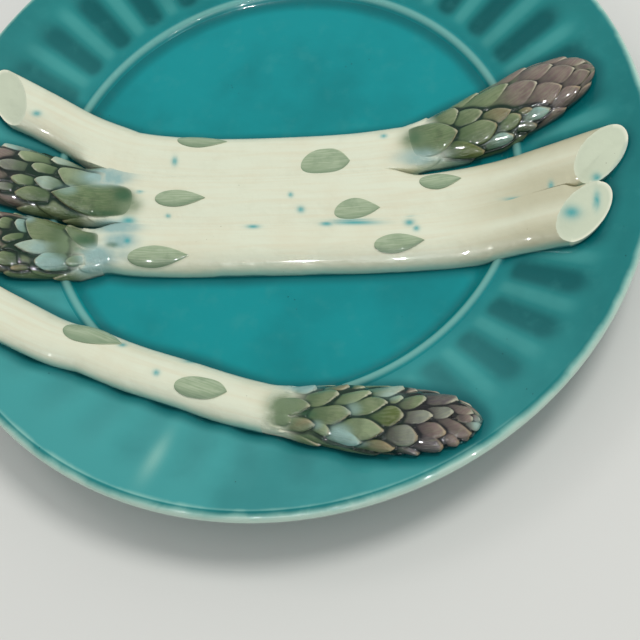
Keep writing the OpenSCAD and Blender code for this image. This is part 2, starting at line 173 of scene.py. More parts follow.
# The four spears. Ends: butt, join of stem and tip, end of the tip, as shares of the plate's radius. Widths
# are half widths over stemHalf. Places: of the middle spear in stemHalf, of its neighbours as shares of the
# distance at which they touch it, of the side one from the bunch to the lip
relief = {
    "stemHalf": 9, "stemRise": 8, "tipHalf": 12.6, "tipRise": 10.2, "edgeRise": 0.8, "stemGap": 0.3,
    "buttRise": 4.4, "buttReach": 30, "cutSkew": 5, "margin": 8, "swellShare": 0.55, "parting": (1.22, 1.16),
    "riseWidth": 18, "sink": 0.25, "lowerGroove": (101, 96), "leastHalf": 0.1,
}
spears = {
    "upper": {
        "ends": (-0.864, 0.35, 0.862), "cut": 15, "groove": 7.7, "fade": (-0.1, 0.11),
        "width": [(-0.864, 1.03), (-0.35, 1.04), (0.35, 1.04)],
        "place": [(-0.864, 1.42), (-0.74, 1.27), (-0.61, 1.15), (-0.48, 1.14), (-0.35, 1.09), (-0.19, 1.02),
                  (0, 1), (0.19, 1.01), (0.35, 1.07), (0.46, 1.09), (0.58, 1.2), (0.72, 1.38),
                  (0.862, 1.58)],
    },
    "middle": {
        "ends": (0.925, -0.45, -0.93), "cut": 15, "groove": 7.4, "fade": (0.12, 0.32),
        "width": [(-0.45, 1.02), (0, 1.01), (0.4, 1.04), (0.7, 1.07), (0.925, 1.05)],
        "place": [(-0.93, 0.42), (-0.78, 0.14), (-0.65, -0.2), (-0.52, -0.66), (-0.4, -1), (-0.25, -1.13),
                  (0, -1.15), (0.25, -1.1), (0.42, -0.94), (0.58, -0.62), (0.7, -0.38), (0.82, -0.23),
                  (0.925, -0.14)],
    },
    "lower": {
        "ends": (0.878, -0.475, -0.915), "cut": 15, "groove": 7.4, "fade": (-0.1, 0.1),
        "width": [(-0.475, 0.93), (0, 0.9), (0.3, 0.91), (0.64, 1), (0.878, 1.15)],
        "place": [(-0.915, 1.2), (-0.8, 1.08), (-0.67, 1.02), (-0.52, 1.01), (-0.4, 1), (0, 1), (0.5, 1),
                  (0.878, 1.02)],
    },
    "side": {
        "ends": (-0.79, 0.02, 0.568), "cut": 8, "groove": 0,
        "width": [(-0.79, 0.97), (-0.4, 0.96), (0.02, 0.98)],
        "place": [(-0.79, 0.487), (-0.68, 0.428), (-0.536, 0.459), (-0.378, 0.483), (-0.218, 0.518),
                  (-0.06, 0.579), (0.024, 0.612), (0.112, 0.641), (0.248, 0.702), (0.384, 0.794),
                  (0.48, 0.887), (0.568, 0.992)],
    },
}
for spear in spears.values():
    spear["widthAt"] = curveThrough(spear["width"])
    spear["placeAt"] = curveThrough(spear["place"])
    butt, join, end = [share * dish["radius"] for share in spear["ends"]]
    spear.update(butt=butt, join=join, end=end, low=min(butt, end), high=max(butt, end))
    spear["out"] = 1 if butt > join else -1
    spear["arcMiddle"] = butt - spear["out"] * spear["cut"] / 2


def wayOf(spear, x):  # 0 where the tip begins, 1 at its end, below 0 on the stem
    return (x - spear["join"]) / (spear["end"] - spear["join"])


def swell(v):
    return np.sin(math.pi / 2 * clamp(v / relief["swellShare"]))


def nose(v):
    past = clamp((v - relief["swellShare"]) / (1 - relief["swellShare"]))
    return np.sqrt(1 - past ** 2)


def fullHalf(spear, x):
    return mix(spear["widthAt"](x / dish["radius"]) * relief["stemHalf"], relief["tipHalf"],
               swell(wayOf(spear, x)))


def placeOf(name, x):
    return spears[name]["placeAt"](x / dish["radius"])


def touching(name, x):  # distance at which a spear touches the middle one
    return fullHalf(spears[name], x) + fullHalf(spears["middle"], x) + relief["stemGap"]


def centreY(name, x):
    middle = placeOf("middle", x) * relief["stemHalf"]
    if name == "middle":
        return middle
    if name == "upper":
        return middle + placeOf("upper", x) * touching("upper", x)
    lower = middle - placeOf("lower", x) * touching("lower", x)
    if name == "lower":
        return lower
    rimSide = -np.sqrt((dish["radius"] - relief["margin"]) ** 2 - x * x)
    return mix(lower - fullHalf(spears["lower"], x), rimSide, placeOf("side", x))


def heading(name, x):
    spear = spears[name]
    step = relief["stemHalf"] / 4
    a = np.clip(x - step, spear["low"], spear["high"] - step)
    b = np.clip(x + step, spear["low"] + step, spear["high"])
    return np.arctan2(centreY(name, b) - centreY(name, a), b - a)


def across(name, x, offset):
    a = heading(name, x)
    return x - np.sin(a) * offset, centreY(name, x) + np.cos(a) * offset


def onStem(name, x):
    low, high = spears[name]["fade"]
    return smooth(wayOf(spears[name], x), high, low)


def grooveFill(name, x, far):  # how far the groove to the next stem is filled
    upperFill = smooth(placeOf("upper", x), *relief["parting"]) * onStem("upper", x) * onStem("middle", x)
    lowerFill = smooth(x, *relief["lowerGroove"]) * onStem("lower", x) * onStem("middle", x)
    none = np.zeros_like(x)
    near, beyond = {"upper": (upperFill, none), "middle": (lowerFill, upperFill), "lower": (none, lowerFill),
                    "side": (none, none)}[name]
    return np.where(far, beyond, near)


def betweenStems(name, x, far):  # half of what lies between a spear and the next one
    byUpper = ~far if name == "upper" else far if name == "middle" else False
    parted = np.maximum(0, placeOf("upper", x) - 1) * touching("upper", x)
    return (np.where(byUpper, parted, 0) + relief["stemGap"]) / 2


def baseAt(name, x, half, t):  # what the relief rises from
    near, far = [risingZ(np.hypot(*across(name, x, side * half)), relief["riseWidth"]) for side in (-1, 1)]
    return mix(near, far, t)


def footAt(name, x):
    spear = spears[name]
    fromButt = ease(np.abs(x - spear["butt"]) / relief["buttReach"])
    return mix(relief["buttRise"], relief["edgeRise"], fromButt) * nose(wayOf(spear, x))


def riseAt(spear, x):
    v = wayOf(spear, x)
    return mix(relief["stemRise"], relief["tipRise"], swell(v)) * nose(v)


def skin(name, x, angle, lift=0.0):  # surface of a spear, angle 0 at its near edge, 180 at its far one
    spear = spears[name]
    a = np.radians(angle)
    far = np.cos(a) + 0 * x < 0
    x = x + 0 * a
    half = np.maximum(relief["leastHalf"], fullHalf(spear, x) * nose(wayOf(spear, x)) + lift)
    fill = grooveFill(name, x, far)
    px, py = across(name, x, -(half + fill * betweenStems(name, x, far)) * np.cos(a))
    foot = footAt(name, x)
    rise = riseAt(spear, x) + lift
    arched = foot + np.maximum(0, rise - foot) * np.sin(a)
    groove = np.where(far & (name == "middle"), spears["upper"]["groove"], spear["groove"])
    filled = groove + (rise - groove) * (1 + np.cos(math.pi * np.abs(np.cos(a)))) / 2
    z = baseAt(name, x, half, (1 - np.cos(a)) / 2) + mix(arched, filled, fill)
    return np.stack([px, py, z], -1)


def floorUnder(points):  # the same points, sunk into the plate
    low = points.copy()
    low[:, 2] = dishZ(np.hypot(low[:, 0], low[:, 1])) - relief["sink"]
    return low


def gridFaces(rows, columns, closed=False, start=0):
    wrap = columns if closed else columns - 1
    i, j = np.meshgrid(np.arange(rows - 1), np.arange(wrap), indexing="ij")
    k = (j + 1) % columns
    quads = np.stack([i * columns + j, i * columns + k, (i + 1) * columns + k, (i + 1) * columns + j], -1)
    return (quads.reshape(-1, 4) + start).tolist()


def shell(top, under, start):  # points and faces of a leaf of two grids, joined all round
    rows, columns = top.shape[:2]
    count = rows * columns
    faces = gridFaces(rows, columns, start=start)
    faces += [face[::-1] for face in gridFaces(rows, columns, start=start + count)]
    grid = np.arange(start, start + count).reshape(rows, columns)
    loop = np.concatenate([grid[0], grid[1:, -1], grid[-1, -2::-1], grid[-2:0:-1, 0]]).tolist()
    faces += [[after, here, here + count, after + count] for here, after in zip(loop, loop[1:] + loop[:1])]
    return np.concatenate([top.reshape(-1, 3), under.reshape(-1, 3)]), faces


smoothing = {"weld": 0.0005, "crease": 38, "scaleCrease": 75}


def makePiece(name, points, faces, material, nodes, masks, crease=smoothing["crease"]):
    mesh = bpy.data.meshes.new(name)
    mesh.from_pydata((np.asarray(points) * mm).tolist(), [], faces)
    for mask, values in masks.items():
        values = np.asarray(values, float)
        kind, part = ("FLOAT", "value") if values.ndim == 1 else ("FLOAT_VECTOR", "vector")
        mesh.attributes.new(mask, kind, "POINT").data.foreach_set(part, values.ravel())
    shape = bmesh.new()
    shape.from_mesh(mesh)
    bmesh.ops.remove_doubles(shape, verts=shape.verts, dist=smoothing["weld"] * mm)
    bmesh.ops.recalc_face_normals(shape, faces=shape.faces)
    shape.to_mesh(mesh)
    shape.free()
    mesh.shade_smooth()
    mesh.set_sharp_from_angle(angle=math.radians(crease))
    mesh.materials.append(material)
    piece = bpy.data.objects.new(name, mesh)
    bpy.context.scene.collection.objects.link(piece)
    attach(piece, "root")
    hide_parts(*nodes)
    return piece


def paint(code):  # a written colour as the renderer's linear one
    parts = [int(code[i:i + 2], 16) / 255 for i in (1, 3, 5)]
    return (*[c / 12.92 if c <= 0.04045 else ((c + 0.055) / 1.055) ** 2.4 for c in parts], 1.0)


# What the glazes share, and the soft patches of glaze on stems and tips
glazeBase = {"roughness": 0.25, "mirror": 0.1, "ior": 1.5, "coatRoughness": 0.04, "bumpStrength": 1}
patchGlaze = {
    "tones": {"olive": "#6c7f5f", "wash": "#92b0aa", "blot": "#2f5a3c"},
    "mottle": (240, 5), "thinned": (0.3, 0.7, 0.85, 1.15), "fall": 1.5,
}


# A glaze in nodes. Its settings give tones, noises (scale, detail, distortion), grains along a piece
# (stretch, detail) and spans (from, to, and the value at each)
class Glaze:
    def __init__(self, name, settings, tone):
        self.settings = settings = {**glazeBase, **settings}
        self.material = bpy.data.materials.new(name)
        self.material.use_nodes = True
        self.tree = self.material.node_tree
        self.shader = self.tree.nodes["Principled BSDF"]
        self.shader.inputs["Roughness"].default_value = settings["roughness"]
        self.shader.inputs["IOR"].default_value = settings["ior"]
        self.shader.inputs["Specular IOR Level"].default_value = settings["mirror"]
        self.shader.inputs["Coat Weight"].default_value = settings["coat"]
        self.shader.inputs["Coat Roughness"].default_value = settings["coatRoughness"]
        self.shader.inputs["Coat IOR"].default_value = settings["ior"]
        self.place = self.node("TexCoord", {}, "Object")
        self.colour = self.toned(tone)

    def link(self, value, socket):
        if isinstance(value, bpy.types.NodeSocket):
            self.tree.links.new(value, socket)
        else:
            socket.default_value = value

    def node(self, kind, inputs, output=0, **options):
        made = self.tree.nodes.new("ShaderNode" + kind)
        for option, value in options.items():
            setattr(made, option, value)
        for socket, value in inputs.items():
            self.link(value, made.inputs[socket])
        return made.outputs[output]

    def toned(self, tone):  # a tone of the settings by name, or a socket as it is
        return paint(self.settings["tones"][tone]) if isinstance(tone, str) else tone

    def mask(self, name, output="Fac"):
        return self.node("Attribute", {}, output, attribute_name=name)

    def noiseOn(self, vector, scale, detail, distortion=0.0):
        values = {"Vector": vector, "Scale": scale, "Detail": detail, "Distortion": distortion}
        return self.node("TexNoise", values, "Fac")

    def noise(self, name):
        return self.noiseOn(self.place, *self.settings["noises"][name])

    def grain(self, name):
        stretch, detail = self.settings["grains"][name]
        stretched = self.node("Mapping", {"Vector": self.mask("along", "Vector"), "Scale": stretch}, "Vector")
        return self.noiseOn(stretched, 1.0, detail)

    def cells(self, scale):
        return self.node("TexVoronoi", {"Vector": self.place, "Scale": scale}, "Distance")

    def math(self, operation, *values):
        result = self.node("Math", dict(enumerate(values[:2])), operation=operation)
        for value in values[2:]:
            result = self.node("Math", {0: result, 1: value}, operation=operation)
        return result

    def times(self, *values):
        return self.math("MULTIPLY", *values)

    def plus(self, *values):
        return self.math("ADD", *values)

    def spread(self, value, low, high, atLow=0.0, atHigh=1.0):
        values = dict(enumerate((value, low, high, atLow, atHigh)))
        return self.node("MapRange", values, "Result", interpolation_type="SMOOTHSTEP")

    def span(self, name, value):
        return self.spread(value, *self.settings["spans"][name])

    def blend(self, amount, a, b):
        return self.node("Mix", {"Factor": amount, 6: self.toned(a), 7: self.toned(b)}, 2, data_type="RGBA")

    def lay(self, tone, *amounts):  # a tone over the colour so far, as strong as the amounts together
        amount = self.times(*amounts) if len(amounts) > 1 else amounts[0]
        self.colour = self.blend(amount, self.colour, tone)

    def layPatches(self):
        mottle = self.spread(self.noiseOn(self.place, *patchGlaze["mottle"]), *patchGlaze["thinned"])
        for kind, code in patchGlaze["tones"].items():
            amount = self.math("MINIMUM", self.times(self.mask(kind), mottle), 1)
            self.colour = self.blend(amount, self.colour, paint(code))

    def radius(self):  # distance from the plate's axis, in millimetres
        x, y = [self.times(self.node("SeparateXYZ", {0: self.place}, axis), 1 / mm) for axis in (0, 1)]
        return self.math("SQRT", self.plus(self.times(x, x), self.times(y, y)))

    def finish(self, height=None):
        if height is not None:
            depth = {"Strength": self.settings["bumpStrength"], "Distance": self.settings["bump"] * mm}
            self.link(self.node("Bump", {**depth, "Height": height}, "Normal"), self.shader.inputs["Normal"])
        self.link(self.colour, self.shader.inputs["Base Color"])
        return self.material


tealGlaze = {
    "coat": 0.3, "bump": 0.35, "tones": {
        "well": "#098a8d", "rim": "#22817f", "crest": "#3f9490", "pale": "#4fa5a3", "hollow": "#005758",
        "pool": "#00585b", "worn": "#8fc0b2", "lip": "#c3d6c6", "pit": "#0d3c3e",
    },
    "noises": {"cloud": (28, 4), "mottle": (160, 3), "streak": (90, 5, 0.6), "pitted": (60, 2),
               "ripple": (95, 2)},
    "spans": {
        "rim": (78, 92), "onRim": (81, 86), "crests": (0, 0.3, 0.9, 0), "hollows": (0.15, 0.9),
        "cloud": (0.4, 0.75, 0, 0.35), "mottle": (0.5, 0.8, 0, 0.18), "cloudShift": (0.3, 0.7, -0.7, 0.7),
        "reliefPoolAndShade": (0.2, 5, 0.85, 0), "beadPool": (0.5, 4.5, 0.55, 0), "beadCrest": (0.3, 1, 0, 0.5),
        "streakShift": (0.3, 0.7, -0.35, 0.35), "worn": (-2.8, -0.8, 0, 0.85), "lip": (-1.6, -0.1, 0, 0.75),
        "pits": (0.03, 0.08, 1, 0), "pitted": (0.6, 0.64),
    },
    "paleShare": 0.8, "paleShift": 2, "beadFoot": 1, "pitCells": 330, "pitShare": 0.75, "pitDepth": -0.5,
}


def makeTealGlaze(name, onBead=False):
    t = tealGlaze
    glaze = Glaze(name, t, "well")
    radius, cloud = glaze.radius(), glaze.noise("cloud")
    hollow, pale = glaze.mask("hollow"), glaze.mask("pale")
    onRim = glaze.span("onRim", radius)
    glaze.lay("rim", glaze.span("rim", radius))
    glaze.lay("crest", onRim, glaze.span("crests", hollow))
    glaze.lay("hollow", onRim, glaze.span("hollows", hollow))
    # Painted light: the rim laid paler on the side whose slope faces the light
    glaze.lay("pale", onRim, pale, t["paleShare"])
    glaze.lay("hollow", glaze.span("cloud", cloud))
    glaze.lay("crest", glaze.span("mottle", glaze.noise("mottle")))
    # Pooled glaze and painted shade: darker teal round the foot of the spears
    gap = glaze.plus(glaze.mask("reliefGap"), glaze.span("cloudShift", cloud))
    glaze.lay("pool", glaze.span("reliefPoolAndShade", gap))
    if onBead:
        glaze.lay("worn", glaze.span("beadCrest", glaze.mask("crest")))
    else:
        beadGap = glaze.math("ABSOLUTE", glaze.math("SUBTRACT", radius, rimFootR - t["beadFoot"]))
        glaze.lay("pool", glaze.span("beadPool", beadGap))
        streak = glaze.span("streakShift", glaze.noise("streak"))
        # The pale mask also widens the worn lip band on that side
        edge = glaze.plus(radius, -dish["radius"], streak, glaze.times(pale, t["paleShift"]))
        glaze.lay("worn", glaze.span("worn", edge))
        glaze.lay("lip", glaze.span("lip", edge))
        # Painted sheen: a pale streak across the near rim, laid in the worn tone
        glaze.lay("worn", glaze.mask("paintedSheen"))
        glaze.lay("rim", glaze.mask("under"))
    pits = glaze.times(glaze.span("pits", glaze.cells(t["pitCells"])),
                       glaze.span("pitted", glaze.noise("pitted")))
    glaze.lay("pit", pits, t["pitShare"])
    return glaze.finish(glaze.plus(glaze.noise("ripple"), glaze.times(pits, t["pitDepth"])))


def footPoly(name, count=90):  # outline of a spear on the plate
    spear = spears[name]
    belly = relief["swellShare"]
    bend = np.sin(np.linspace(0, math.pi / 2, count // 2))
    tipShare = np.concatenate([np.linspace(0, belly, count // 2)[1:], mix(belly, 1, bend)[1:]])
    sides = []
    for side in (-1, 1):
        start = spear["arcMiddle"] + spear["out"] * relief["cutSkew"] * side
        along = mix(start, spear["join"], np.linspace(0, 1, count))
        x = np.concatenate([along, mix(spear["join"], spear["end"], tipShare)])
        sides.append(np.stack(across(name, x, side * fullHalf(spear, x) * nose(wayOf(spear, x))), -1))
    turn = np.linspace(0, math.pi, count // 3)[1:-1]
    x = spear["arcMiddle"] - cutOff(spear, turn)
    arc = np.stack(across(name, x, fullHalf(spear, spear["arcMiddle"]) * np.cos(turn)), -1)
    return np.concatenate([sides[0], sides[1][::-1], arc])


def cutOff(spear, turn):  # where the slanted cut meets a spear, from the middle of the cut
    return -spear["out"] * (spear["cut"] / 2 * np.sin(turn) + relief["cutSkew"] * np.cos(turn))


outlines = {name: footPoly(name) for name in spears}


def gapTo(outline, points, batch=4000):  # distance of points to an outline, 0 inside it
    a, b = outline, np.roll(outline, -1, axis=0)
    edge = b - a
    squared = np.maximum((edge ** 2).sum(1), tiny)
    rise = np.where(np.abs(edge[:, 1]) < tiny, tiny, edge[:, 1])
    gaps = np.empty(len(points))
    for start in range(0, len(points), batch):
        p = points[start:start + batch, None, :]
        t = clamp(((p - a) * edge).sum(2) / squared)
        gap = np.sqrt((((a + edge * t[..., None]) - p) ** 2).sum(2)).min(1)
        crosses = (a[:, 1] > p[..., 1]) != (b[:, 1] > p[..., 1])
        crosses &= p[..., 0] < edge[:, 0] * (p[..., 1] - a[:, 1]) / rise + a[:, 0]
        gaps[start:start + batch] = np.where(crosses.sum(1) % 2 == 1, 0, gap)
    return gaps


def reliefGap(plan):  # distance to the nearest spear
    return np.min([gapTo(outline, plan) for outline in outlines.values()], axis=0)


def fluteHollow(r, theta):  # 1 in the middle of a flute, 0 on the fold between two
    turn = dish["flutes"] * (theta - math.radians(dish["fluteTurn"]))
    window = smooth(r, *dish["fluteInner"]) * (1 - smooth(r, *dish["fluteOuter"]))
    return window * (1 - np.cos(turn)) / 2, window


def dishRings():  # rings of the dish as radius, height and whether the ring is on top
    d = dish
    stops = [0, rimFootR - d["coveWidth"], rimFootR, lipCentre[0] - lipR * math.sin(rimAngle)]
    counts = [d["wellRings"], d["coveRings"], d["rimRings"]]
    top = [(r, dishZ(r), 1) for start, end, count in zip(stops, stops[1:], counts)
           for r in np.linspace(start, end, count)[1:]]
    turns = np.linspace(math.pi / 2 + rimAngle, rimAngle - math.pi / 2, d["lipRings"])[1:]
    below = [lipCentre + lipR * np.array([math.cos(a), math.sin(a)]) for a in turns]
    soft, draft, lean, high = d["rounding"], d["footDraft"], d["footLean"], d["footHeight"]
    flat = np.array([below[-1][0] - (below[-1][1] - high) / math.tan(rimAngle), high])
    below += [mix(below[-1], flat, t) for t in np.linspace(0, 1, d["underRings"])[1:-1]]
    out, inner = d["footRadius"], d["footRadius"] - d["footWidth"] - 2 * draft
    below += [(out + soft, high + d["footLift"]), (out, high - soft), (out - draft + lean, soft),
              (out - draft - soft, 0), (inner + draft + soft, 0), (inner + draft - lean, soft),
              (inner, high - soft), (inner - soft, high)]
    below += [(r, high) for r in np.linspace(inner - d["innerStep"], 0, d["innerRings"])[:-1]]
    return top + [(r, z, 0) for r, z in below]


def makeDish():
    d, paintedSheen = dish, dish["paintedSheen"]
    theta = np.linspace(0, 2 * math.pi, d["around"], endpoint=False)
    fromFaint = (1 + np.cos(theta - math.radians(d["faintTurn"]))) / 2
    sheenTurn = np.exp(-((theta - math.radians(paintedSheen["turn"])) / paintedSheen["width"]) ** 2)
    rows, masks = [], {"hollow": [], "under": [], "paintedSheen": [], "pale": []}
    for r, z, onTop in dishRings():
        hollow, window = fluteHollow(r, theta)
        height = z - onTop * d["fluteDepth"] * hollow
        rows.append(np.stack([r * np.cos(theta), r * np.sin(theta), height], -1))
        shown = onTop * window * mix(1, d["faintShare"], smooth(fromFaint, *d["faintSpan"]))
        masks["hollow"].append(mix(d["plainTone"], hollow, shown))
        # Painted light: paler rim on the side whose slope faces the light
        masks["pale"].append(onTop * d["paleShare"] * smooth(fromFaint, *d["paleSpan"]))
        masks["under"].append(0 * theta + (not onTop and r <= lipCentre[0] and z <= lipCentre[1]))
        # Painted sheen: a pale streak across the near rim
        sheenAmount = onTop * paintedSheen["share"] * np.exp(-((r - paintedSheen["radius"]) / paintedSheen["length"]) ** 2)
        masks["paintedSheen"].append(sheenAmount * sheenTurn)
    faces = gridFaces(len(rows), d["around"], closed=True)
    first, tail = len(rows) * d["around"], (len(rows) - 1) * d["around"]
    points = np.concatenate([*rows, [[0, 0, wellZ], [0, 0, d["footHeight"]]]])
    for j in range(d["around"]):
        k = (j + 1) % d["around"]
        faces += [[first, k, j], [first + 1, tail + j, tail + k]]
    flat = {mask: np.concatenate([*values, [0, mask == "under"]]) for mask, values in masks.items()}
    flat["reliefGap"] = reliefGap(points[:, :2]) + flat["under"] * d["radius"]
    return makePiece("dish", points, faces, makeTealGlaze("tealGlaze"), ["plate_dish", "foot_ring"],
                     flat)


makeDish()
print("dish made")

# Bead round the well, from spear to spear, fading into the rim on both sides
bead = {
    "width": 5, "rise": 1.05, "steps": 12, "intoSpear": 1.5, "skirt": 0.15, "bulge": 1.6, "samples": 2000,
    "perRing": 4, "leastRings": 8,
}


def makeBead():
    theta = np.linspace(0, 2 * math.pi, bead["samples"], endpoint=False)
    free = reliefGap(dish["beadRadius"] * np.stack([np.cos(theta), np.sin(theta)], -1)) > 0
    extra = int(bead["intoSpear"] / dish["beadRadius"] / (2 * math.pi) * len(free))
    points, faces, crests = np.empty((0, 3)), [], []
    for start in [i for i in range(len(free)) if free[i] and not free[i - 1]]:
        count = 0
        while free[(start + count) % len(free)]:
            count += 1
        rings = max(bead["leastRings"], int(count / bead["perRing"]))
        angles = 2 * math.pi * np.linspace(start - extra, start + count + extra, rings) / len(free)
        t, a = np.meshgrid(np.linspace(0, 1, bead["steps"] + 1), angles)
        bulge = np.sin(math.pi * t) ** bead["bulge"]
        r = dish["beadRadius"] + bead["width"] * (t - 0.5) - bulge * bead["rise"] * math.sin(rimAngle)
        z = dishZ(r) - bead["skirt"] + bulge * (bead["rise"] + bead["skirt"])
        top = np.stack([r * np.cos(a), r * np.sin(a), z], -1)
        under = np.stack([r * np.cos(a), r * np.sin(a), np.minimum(z, dishZ(r)) - 2 * bead["skirt"]], -1)
        newPoints, newFaces = shell(top, under, len(points))
        points = np.concatenate([points, newPoints])
        faces += newFaces
        crests += [bulge.ravel(), np.zeros(bulge.size)]
    masks = {"crest": np.concatenate(crests), "reliefGap": reliefGap(points[:, :2]),
             "hollow": np.full(len(points), dish["plainTone"])}
    return makePiece("bead", points, faces, makeTealGlaze("beadGlaze", onBead=True), ["well_bead"],
                     masks)


makeBead()
print("bead made")

# Readings from enlarged parts of the photo: where the enlargement begins, in pixels, and its factor
enlarged = {
    "whole": (0, 100, 2.45), "sideTip": (250, 350, 6.27), "leftTips": (0, 120, 9.225),
    "rightTip": (370, 100, 5.807),
}
# Samples over a spear, least distance to its ends, and how sharply a pixel is followed
search = {"along": 760, "around": 121, "inset": 0.1, "reach": 0.6, "pull": 4}


def makeSeenGrid(name):  # a spear's surface with the pixels at which the camera sees it
    low, high = spears[name]["low"] + search["inset"], spears[name]["high"] - search["inset"]
    x = np.linspace(low, high, search["along"])
    gx, ga = np.meshgrid(x, np.linspace(0, 180, search["around"]), indexing="ij")
    return gx, ga, pixelOf(skin(name, gx, ga))


seenGrids = {name: makeSeenGrid(name) for name in spears}


def spotOn(name, window, x, y):  # x and angle of what the camera sees of a spear at a place in the photo
    left, top, factor = enlarged[window]
    gx, ga, seen = seenGrids[name]
    off = np.hypot(seen[..., 0] - (left + x / factor), seen[..., 1] - (top + y / factor))
    cost = np.where(off <= off.min() + search["reach"], seen[..., 2] + search["pull"] * off, np.inf)
    i = np.unravel_index(np.argmin(cost), cost.shape)
    return float(gx[i]), float(ga[i])


def leafSpots(name, window, ends, half, middleShare):  # both ends of a leaf on a spear, and its two sides
    start, end = np.array(ends, float).reshape(2, 2)
    way = (end - start) / np.hypot(*(end - start))
    side = np.array([-way[1], way[0]]) * half
    middle = mix(start, end, middleShare)
    return [spotOn(name, window, *pixel) for pixel in (start, end, middle + side, middle - side)]


def bodyAcross(spear, x):  # radius that turns an angle over a spear into a width
    half = fullHalf(spear, x) * nose(wayOf(spear, x))
    return np.sqrt((half ** 2 + riseAt(spear, x) ** 2) / 2)


def spotMask(points, window, spots, fall=1):  # soft ovals: x, y, half width, half height, strength
    seen = pixelOf(points)
    left, top, factor = enlarged[window]
    x, y = (seen[..., 0] - left) * factor, (seen[..., 1] - top) * factor
    mask = np.zeros(points.shape[:-1])
    for spotX, spotY, wide, tall, *strength in spots:
        far = ((x - spotX) / wide) ** 2 + ((y - spotY) / tall) ** 2
        mask = np.maximum(mask, (*strength, 1)[0] * np.exp(-far ** fall))
    return mask


def widened(grid):  # a grid with its outer columns doubled, for the sole under them
    return np.concatenate([grid[:, :1], grid, grid[:, -1:]], 1)


def withSole(top):
    return np.concatenate([floorUnder(top[:, 0])[:, None], top, floorUnder(top[:, -1])[:, None]], 1)


stemGlaze = {
    "coat": 0.5, "bump": 0.7, "tones": {
        "cream": "#d9dcc4", "warm": "#d6d0b4", "shade": "#b9b496", "aqua": "#9ccbba", "teal": "#2b9a9c",
        "pool": "#0d7375", "face": "#c6cdb4", "arris": "#eae9d2", "speck": "#6d5a3a",
    },
    "noises": {"cloud": (45, 4), "mottle": (160, 4), "dotted": (75, 2), "ripple": (260, 2)},
    "grains": {"streaks": ((0.03, 0.5, 1), 4), "fine": ((0.05, 3, 1), 3)},
    "spans": {
        "streaks": (0.4, 0.72, 0, 0.6), "cloud": (0.45, 0.75, 0, 0.5), "fine": (0.55, 0.8, 0, 0.08),
        "mottle": (0.5, 0.8, 0, 0.12), "cloudShift": (0.3, 0.7, -0.6, 0.6), "aqua": (0.8, 5, 0.95, 0),
        "pool": (0.1, 1.3, 0.9, 0), "dots": (0.03, 0.09, 1, 0), "dotted": (0.63, 0.66),
    },
    "smudgeShare": 0.9, "dotCells": 420, "dotShare": 0.7, "rippleShare": 0.4, "fineShare": 0.06,
}
stem = {
    "spacing": 0.8, "columns": 44, "faceRings": 9, "faceStart": 0.985, "faceDish": 0.5, "underTip": 0.12,
    "tuck": -1.5, "rimShare": 0.0012, "arrisInner": 0.2, "arrisOuter": 0.8, "arrisSpan": (0.86, 0.98),
    "faceGrain": 0.2, "shadeAlong": (52, 88), "shadeAround": (-20, 40), "shadeShare": 0.85,
    "filledFrom": 0.3, "filledGap": 9,
    "smudges": {
        "upper": [(90, 33, 11, 7), (428, 150, 7, 11), (465, 199, 9, 5), (800, 192, 13, 6),
                  (856, 212, 12, 4), (940, 88, 8, 5)],
        "middle": [(712, 232, 6, 6), (737, 268, 9, 8), (1008, 292, 11, 7), (1022, 314, 7, 6),
                   (412, 284, 6, 5), (315, 295, 17, 9), (342, 225, 9, 3), (1270, 243, 30, 5),
                   (1350, 210, 6, 12), (870, 297, 55, 6)],
        "lower": [(620, 310, 16, 5), (312, 345, 8, 7), (870, 300, 60, 6), (800, 303, 16, 6),
                  (1003, 300, 12, 8), (1020, 314, 8, 7)],
        "side": [(383, 668, 8, 8), (300, 600, 10, 5), (470, 640, 18, 4)],
    },
    "faceSmudges": {"middle": [(1462, 190, 12, 10)], "lower": [(1400, 275, 22, 16), (1462, 246, 8, 22)]},
}

# Soft patches of glaze on tips and stems: x, y, half width, half height, strength
patches = {
    "side": ("sideTip", {
        "wash": [(330, 228, 120, 36, 0.9), (560, 525, 75, 60, 0.75), (640, 590, 90, 24, 0.6),
                 (650, 370, 50, 40, 0.5), (900, 290, 70, 25, 0.4), (1430, 460, 32, 44, 0.6),
                 (420, 470, 40, 30, 0.4)],
        "olive": [(220, 348, 130, 84, 1.0), (195, 430, 105, 66, 1.0), (340, 500, 90, 40, 0.6)],
        "blot": [(350, 400, 60, 30, 0.8)],
    }),
    "middle": ("leftTips", {
        "wash": [(980, 520, 240, 84, 1.1), (1080, 560, 90, 50, 0.9), (620, 640, 90, 50, 0.5),
                 (1030, 975, 210, 60, 1.1)],
        "olive": [(1180, 780, 130, 100, 0.85)],
        "blot": [(1140, 692, 90, 60, 0.85), (860, 860, 260, 30, 0.6)],
    }),
    "lower": ("leftTips", {
        "wash": [(1080, 985, 220, 70, 1.1), (1110, 1110, 160, 90, 1.0), (900, 1260, 190, 110, 1.1),
                 (860, 1370, 200, 70, 0.9), (481, 1316, 130, 64, 0.8), (351, 1187, 80, 60, 0.6),
                 (269, 892, 60, 46, 0.7), (1130, 1240, 140, 60, 0.5)],
        "olive": [(700, 960, 100, 60, 0.6), (670, 1140, 150, 130, 1.0), (680, 1270, 90, 80, 0.8),
                  (760, 1180, 90, 110, 0.8)],
        "blot": [(786, 1100, 110, 50, 0.7), (1033, 1151, 60, 26, 0.6)],
    }),
    "upper": ("rightTip", {
        "wash": [(300, 335, 150, 50, 0.9), (520, 372, 120, 26, 0.5), (200, 330, 50, 40, 0.6)],
        "olive": [(260, 240, 90, 70, 0.8)],
        "blot": [(250, 220, 50, 44, 0.5)],
    }),
}


def patchMasks(name, points):
    window, kinds = patches[name]
    return {kind: spotMask(points, window, spots, patchGlaze["fall"]) for kind, spots in kinds.items()}


